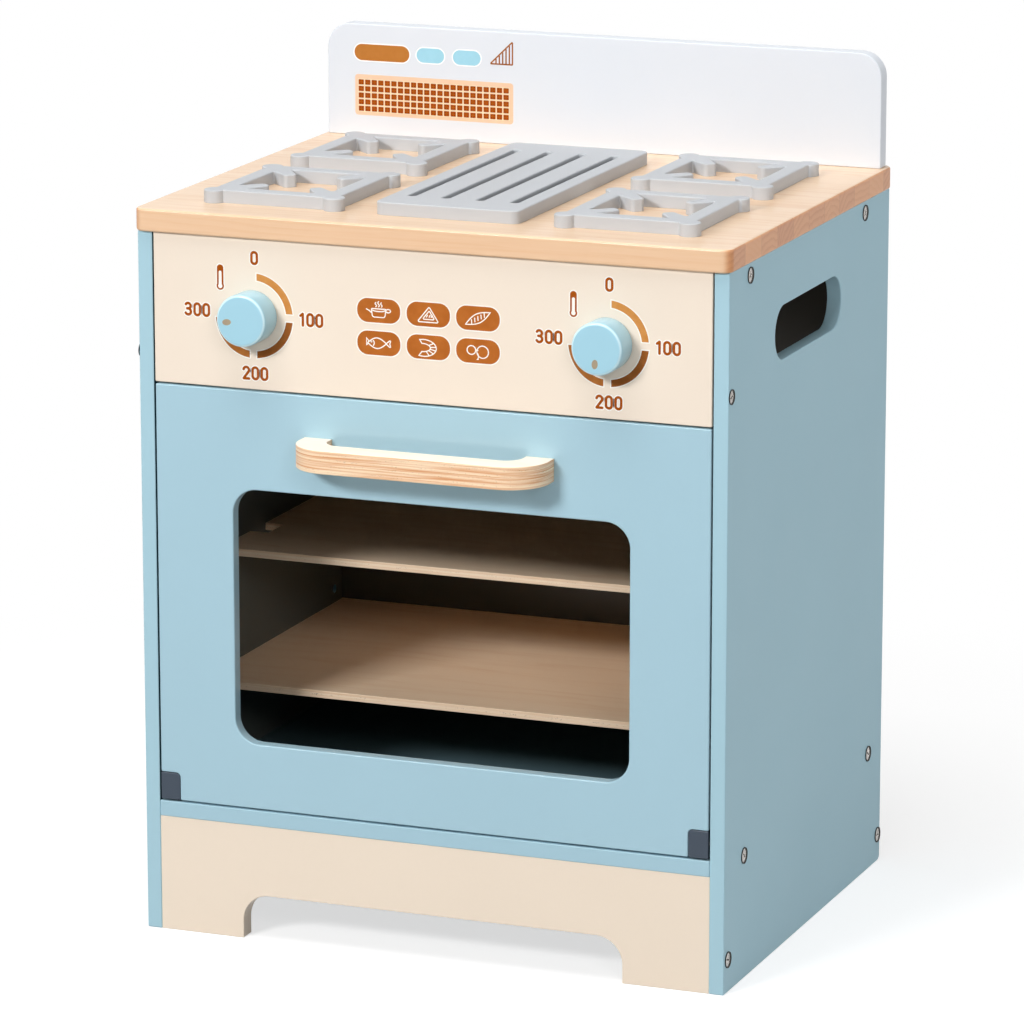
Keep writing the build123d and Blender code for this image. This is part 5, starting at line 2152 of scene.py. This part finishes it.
@dataclass
class Studio:
    """Floor, backdrop, lamps and camera.

    Attributes:
        azimuth: the camera's place, in degrees to the oven's right of straight ahead.
        elevation: its height as an angle.
        distance: millimetres from the camera to its target.
        target_x: the target's x.
        target_depth: how far the target lies behind the oven's front.
        target_z: the target's height.
        focal: focal length in pixels of a square picture.
        picture: the picture's width in pixels.
        boxes: the lamps.
        ambient: strength of the surrounding light.
        floor_paper: how pale the floor's paper is, as light bounces off it.
        floor_shade: how pale the part of its look is that takes the oven's shadow.
        floor_glow: strength of the even part of its look, which lifts the lit floor to white.
        floor_fade: distances from the oven's middle between which the floor turns plain white.
        floor_reach: half the floor's width.
    """

    azimuth: float = 21.38
    elevation: float = 13.35
    distance: float = 3760.6
    target_x: float = -6.4
    target_depth: float = 160.8
    target_z: float = 260.9
    focal: float = 5701.6
    picture: float = 1024.0
    boxes: tuple[Softbox, ...] = (
        Softbox("key_box", -20.0, 27.0, 4.0, 1.1, 0.55, 97.0),
        Softbox("fill_box", 34.0, 24.0, 3.2, 0.8, 0.8, 17.0),
        Softbox("top_box", -10.0, 78.0, 2.6, 1.6, 1.6, 45.0),
        Softbox("right_box", 100.0, 7.0, 2.8, 1.8, 1.8, 28.0),
    )
    ambient: float = 0.05
    floor_paper: float = 0.42
    floor_shade: float = 0.5
    floor_glow: float = 0.66
    floor_fade: Pair = (330.0, 850.0)
    floor_reach: float = 12000.0

    @staticmethod
    def _direction(azimuth: float, elevation: float) -> Vector:
        """Unit vector from the oven towards a place round it."""
        turn, rise = math.radians(azimuth), math.radians(elevation)
        return Vector((math.sin(turn) * math.cos(rise), -math.cos(turn) * math.cos(rise), math.sin(rise)))

    def target(self) -> Vector:
        """What the camera looks at, in metres."""
        front = span("control_panel")[0][1]
        return Vector((self.target_x, front + self.target_depth, self.target_z)) * MM

    def camera(self) -> None:
        """Adds the camera and makes it the scene's."""
        data = bpy.data.cameras.new("camera")
        data.sensor_width = 36.0
        data.lens = data.sensor_width * self.focal / self.picture
        data.clip_end = 50.0
        seat = put("camera", data)
        away = self._direction(self.azimuth, self.elevation)
        seat.location = self.target() + away * self.distance * MM
        seat.rotation_euler = (-away).to_track_quat("-Z", "Y").to_euler()
        bpy.context.scene.camera = seat

    def lamps(self) -> None:
        """Adds the softboxes."""
        middle = self.target()
        for box in self.boxes:
            data = bpy.data.lights.new(box.name, "AREA")
            data.shape = "RECTANGLE"
            data.size, data.size_y = box.width, box.height
            data.energy = box.power
            lamp = put(box.name, data)
            away = self._direction(box.azimuth, box.elevation)
            lamp.location = middle + away * box.distance
            lamp.rotation_euler = (-away).to_track_quat("-Z", "Y").to_euler()

    def world(self) -> None:
        """Soft light all round, white where the camera or a reflection sees it."""
        world = bpy.data.worlds.new("studio")
        bpy.context.scene.world = world
        world.use_nodes = True
        tree = world.node_tree
        tree.nodes.clear()
        output = tree.nodes.new("ShaderNodeOutputWorld")
        seen = self._seen(tree)
        share = tree.nodes.new("ShaderNodeMixShader")
        dim, bright = (tree.nodes.new("ShaderNodeBackground") for _ in range(2))
        dim.inputs["Strength"].default_value = self.ambient
        bright.inputs["Strength"].default_value = 1.0
        for node in (dim, bright):
            node.inputs["Color"].default_value = (1.0, 1.0, 1.0, 1.0)
        tree.links.new(seen, share.inputs[0])
        tree.links.new(dim.outputs[0], share.inputs[1])
        tree.links.new(bright.outputs[0], share.inputs[2])
        tree.links.new(share.outputs[0], output.inputs["Surface"])

    @staticmethod
    def _seen(tree: bpy.types.NodeTree) -> bpy.types.NodeSocket:
        """1 for rays from the camera, a reflection or a see-through surface."""
        path = tree.nodes.new("ShaderNodeLightPath")
        total = path.outputs["Is Camera Ray"]
        for name in ("Is Glossy Ray", "Is Transmission Ray"):
            larger = tree.nodes.new("ShaderNodeMath")
            larger.operation = "MAXIMUM"
            tree.links.new(total, larger.inputs[0])
            tree.links.new(path.outputs[name], larger.inputs[1])
            total = larger.outputs[0]
        return total

    def floor(self) -> None:
        """Adds a wide pale floor that shows white and keeps the oven's shadow."""
        reach = self.floor_reach
        outline = Outline.rectangle((-reach, -reach), (reach, reach), 10.0)
        ground = put("floor", Board(outline, -20.0, 0.0).shape().mesh("floor"))
        material = bpy.data.materials.new("floor_paper")
        graph = Graph(material)
        x, y, _ = graph.axes()
        away = (x * x + y * y).root()
        paper, shaded = (
            graph.node("ShaderNodeBsdfDiffuse", inputs={"Color": (grey, grey, grey, 1.0)})[0]
            for grey in (self.floor_paper, self.floor_shade)
        )
        even, white = (
            graph.node("ShaderNodeEmission", inputs={"Strength": glow})[0] for glow in (self.floor_glow, 1.0)
        )
        near = graph.node("ShaderNodeAddShader", inputs={0: shaded, 1: even})[0]
        far = away.rise(*self.floor_fade)
        look = graph.node("ShaderNodeMixShader", inputs={0: far, 1: near, 2: white})[0]
        seen = Signal(graph, self._seen(material.node_tree))
        share = graph.node("ShaderNodeMixShader", inputs={0: seen, 1: paper, 2: look})[0]
        material.node_tree.links.new(share.socket, graph.output.inputs["Surface"])
        ground.data.materials.append(material)

    def build(self) -> None:
        """Sets the studio up."""
        self.camera()
        self.world()
        self.floor()
        self.lamps()
        bpy.context.scene.view_settings.view_transform = "Standard"


def main() -> None:
    """Builds the oven's pieces in order, then the studio."""
    logging.basicConfig(level=logging.INFO, format="%(name)s: %(message)s")
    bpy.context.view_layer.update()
    shop = Workshop()
    Studio().build()
    Cabinet().build(shop)
    Shelving().build(shop)
    Hob().build(shop)
    Door().build(shop)
    Knob("left", Body.LEFT_KNOB, points_at=187.0).build(shop)
    Knob("right", Body.RIGHT_KNOB, points_at=265.0).build(shop)
    SideScrews().build(shop)
    panel = Press(shop, -span("control_panel")[0][1], "cream_paint")
    for side in ("left", "right"):
        DialPrint().build(panel, side, shop.finishes)
    ButtonPrint().build(panel, shop.finishes)
    SplashPrint().build(shop)
    LOG.info("%d pieces made", len(shop.made))


if __name__ == "__main__":
    main()
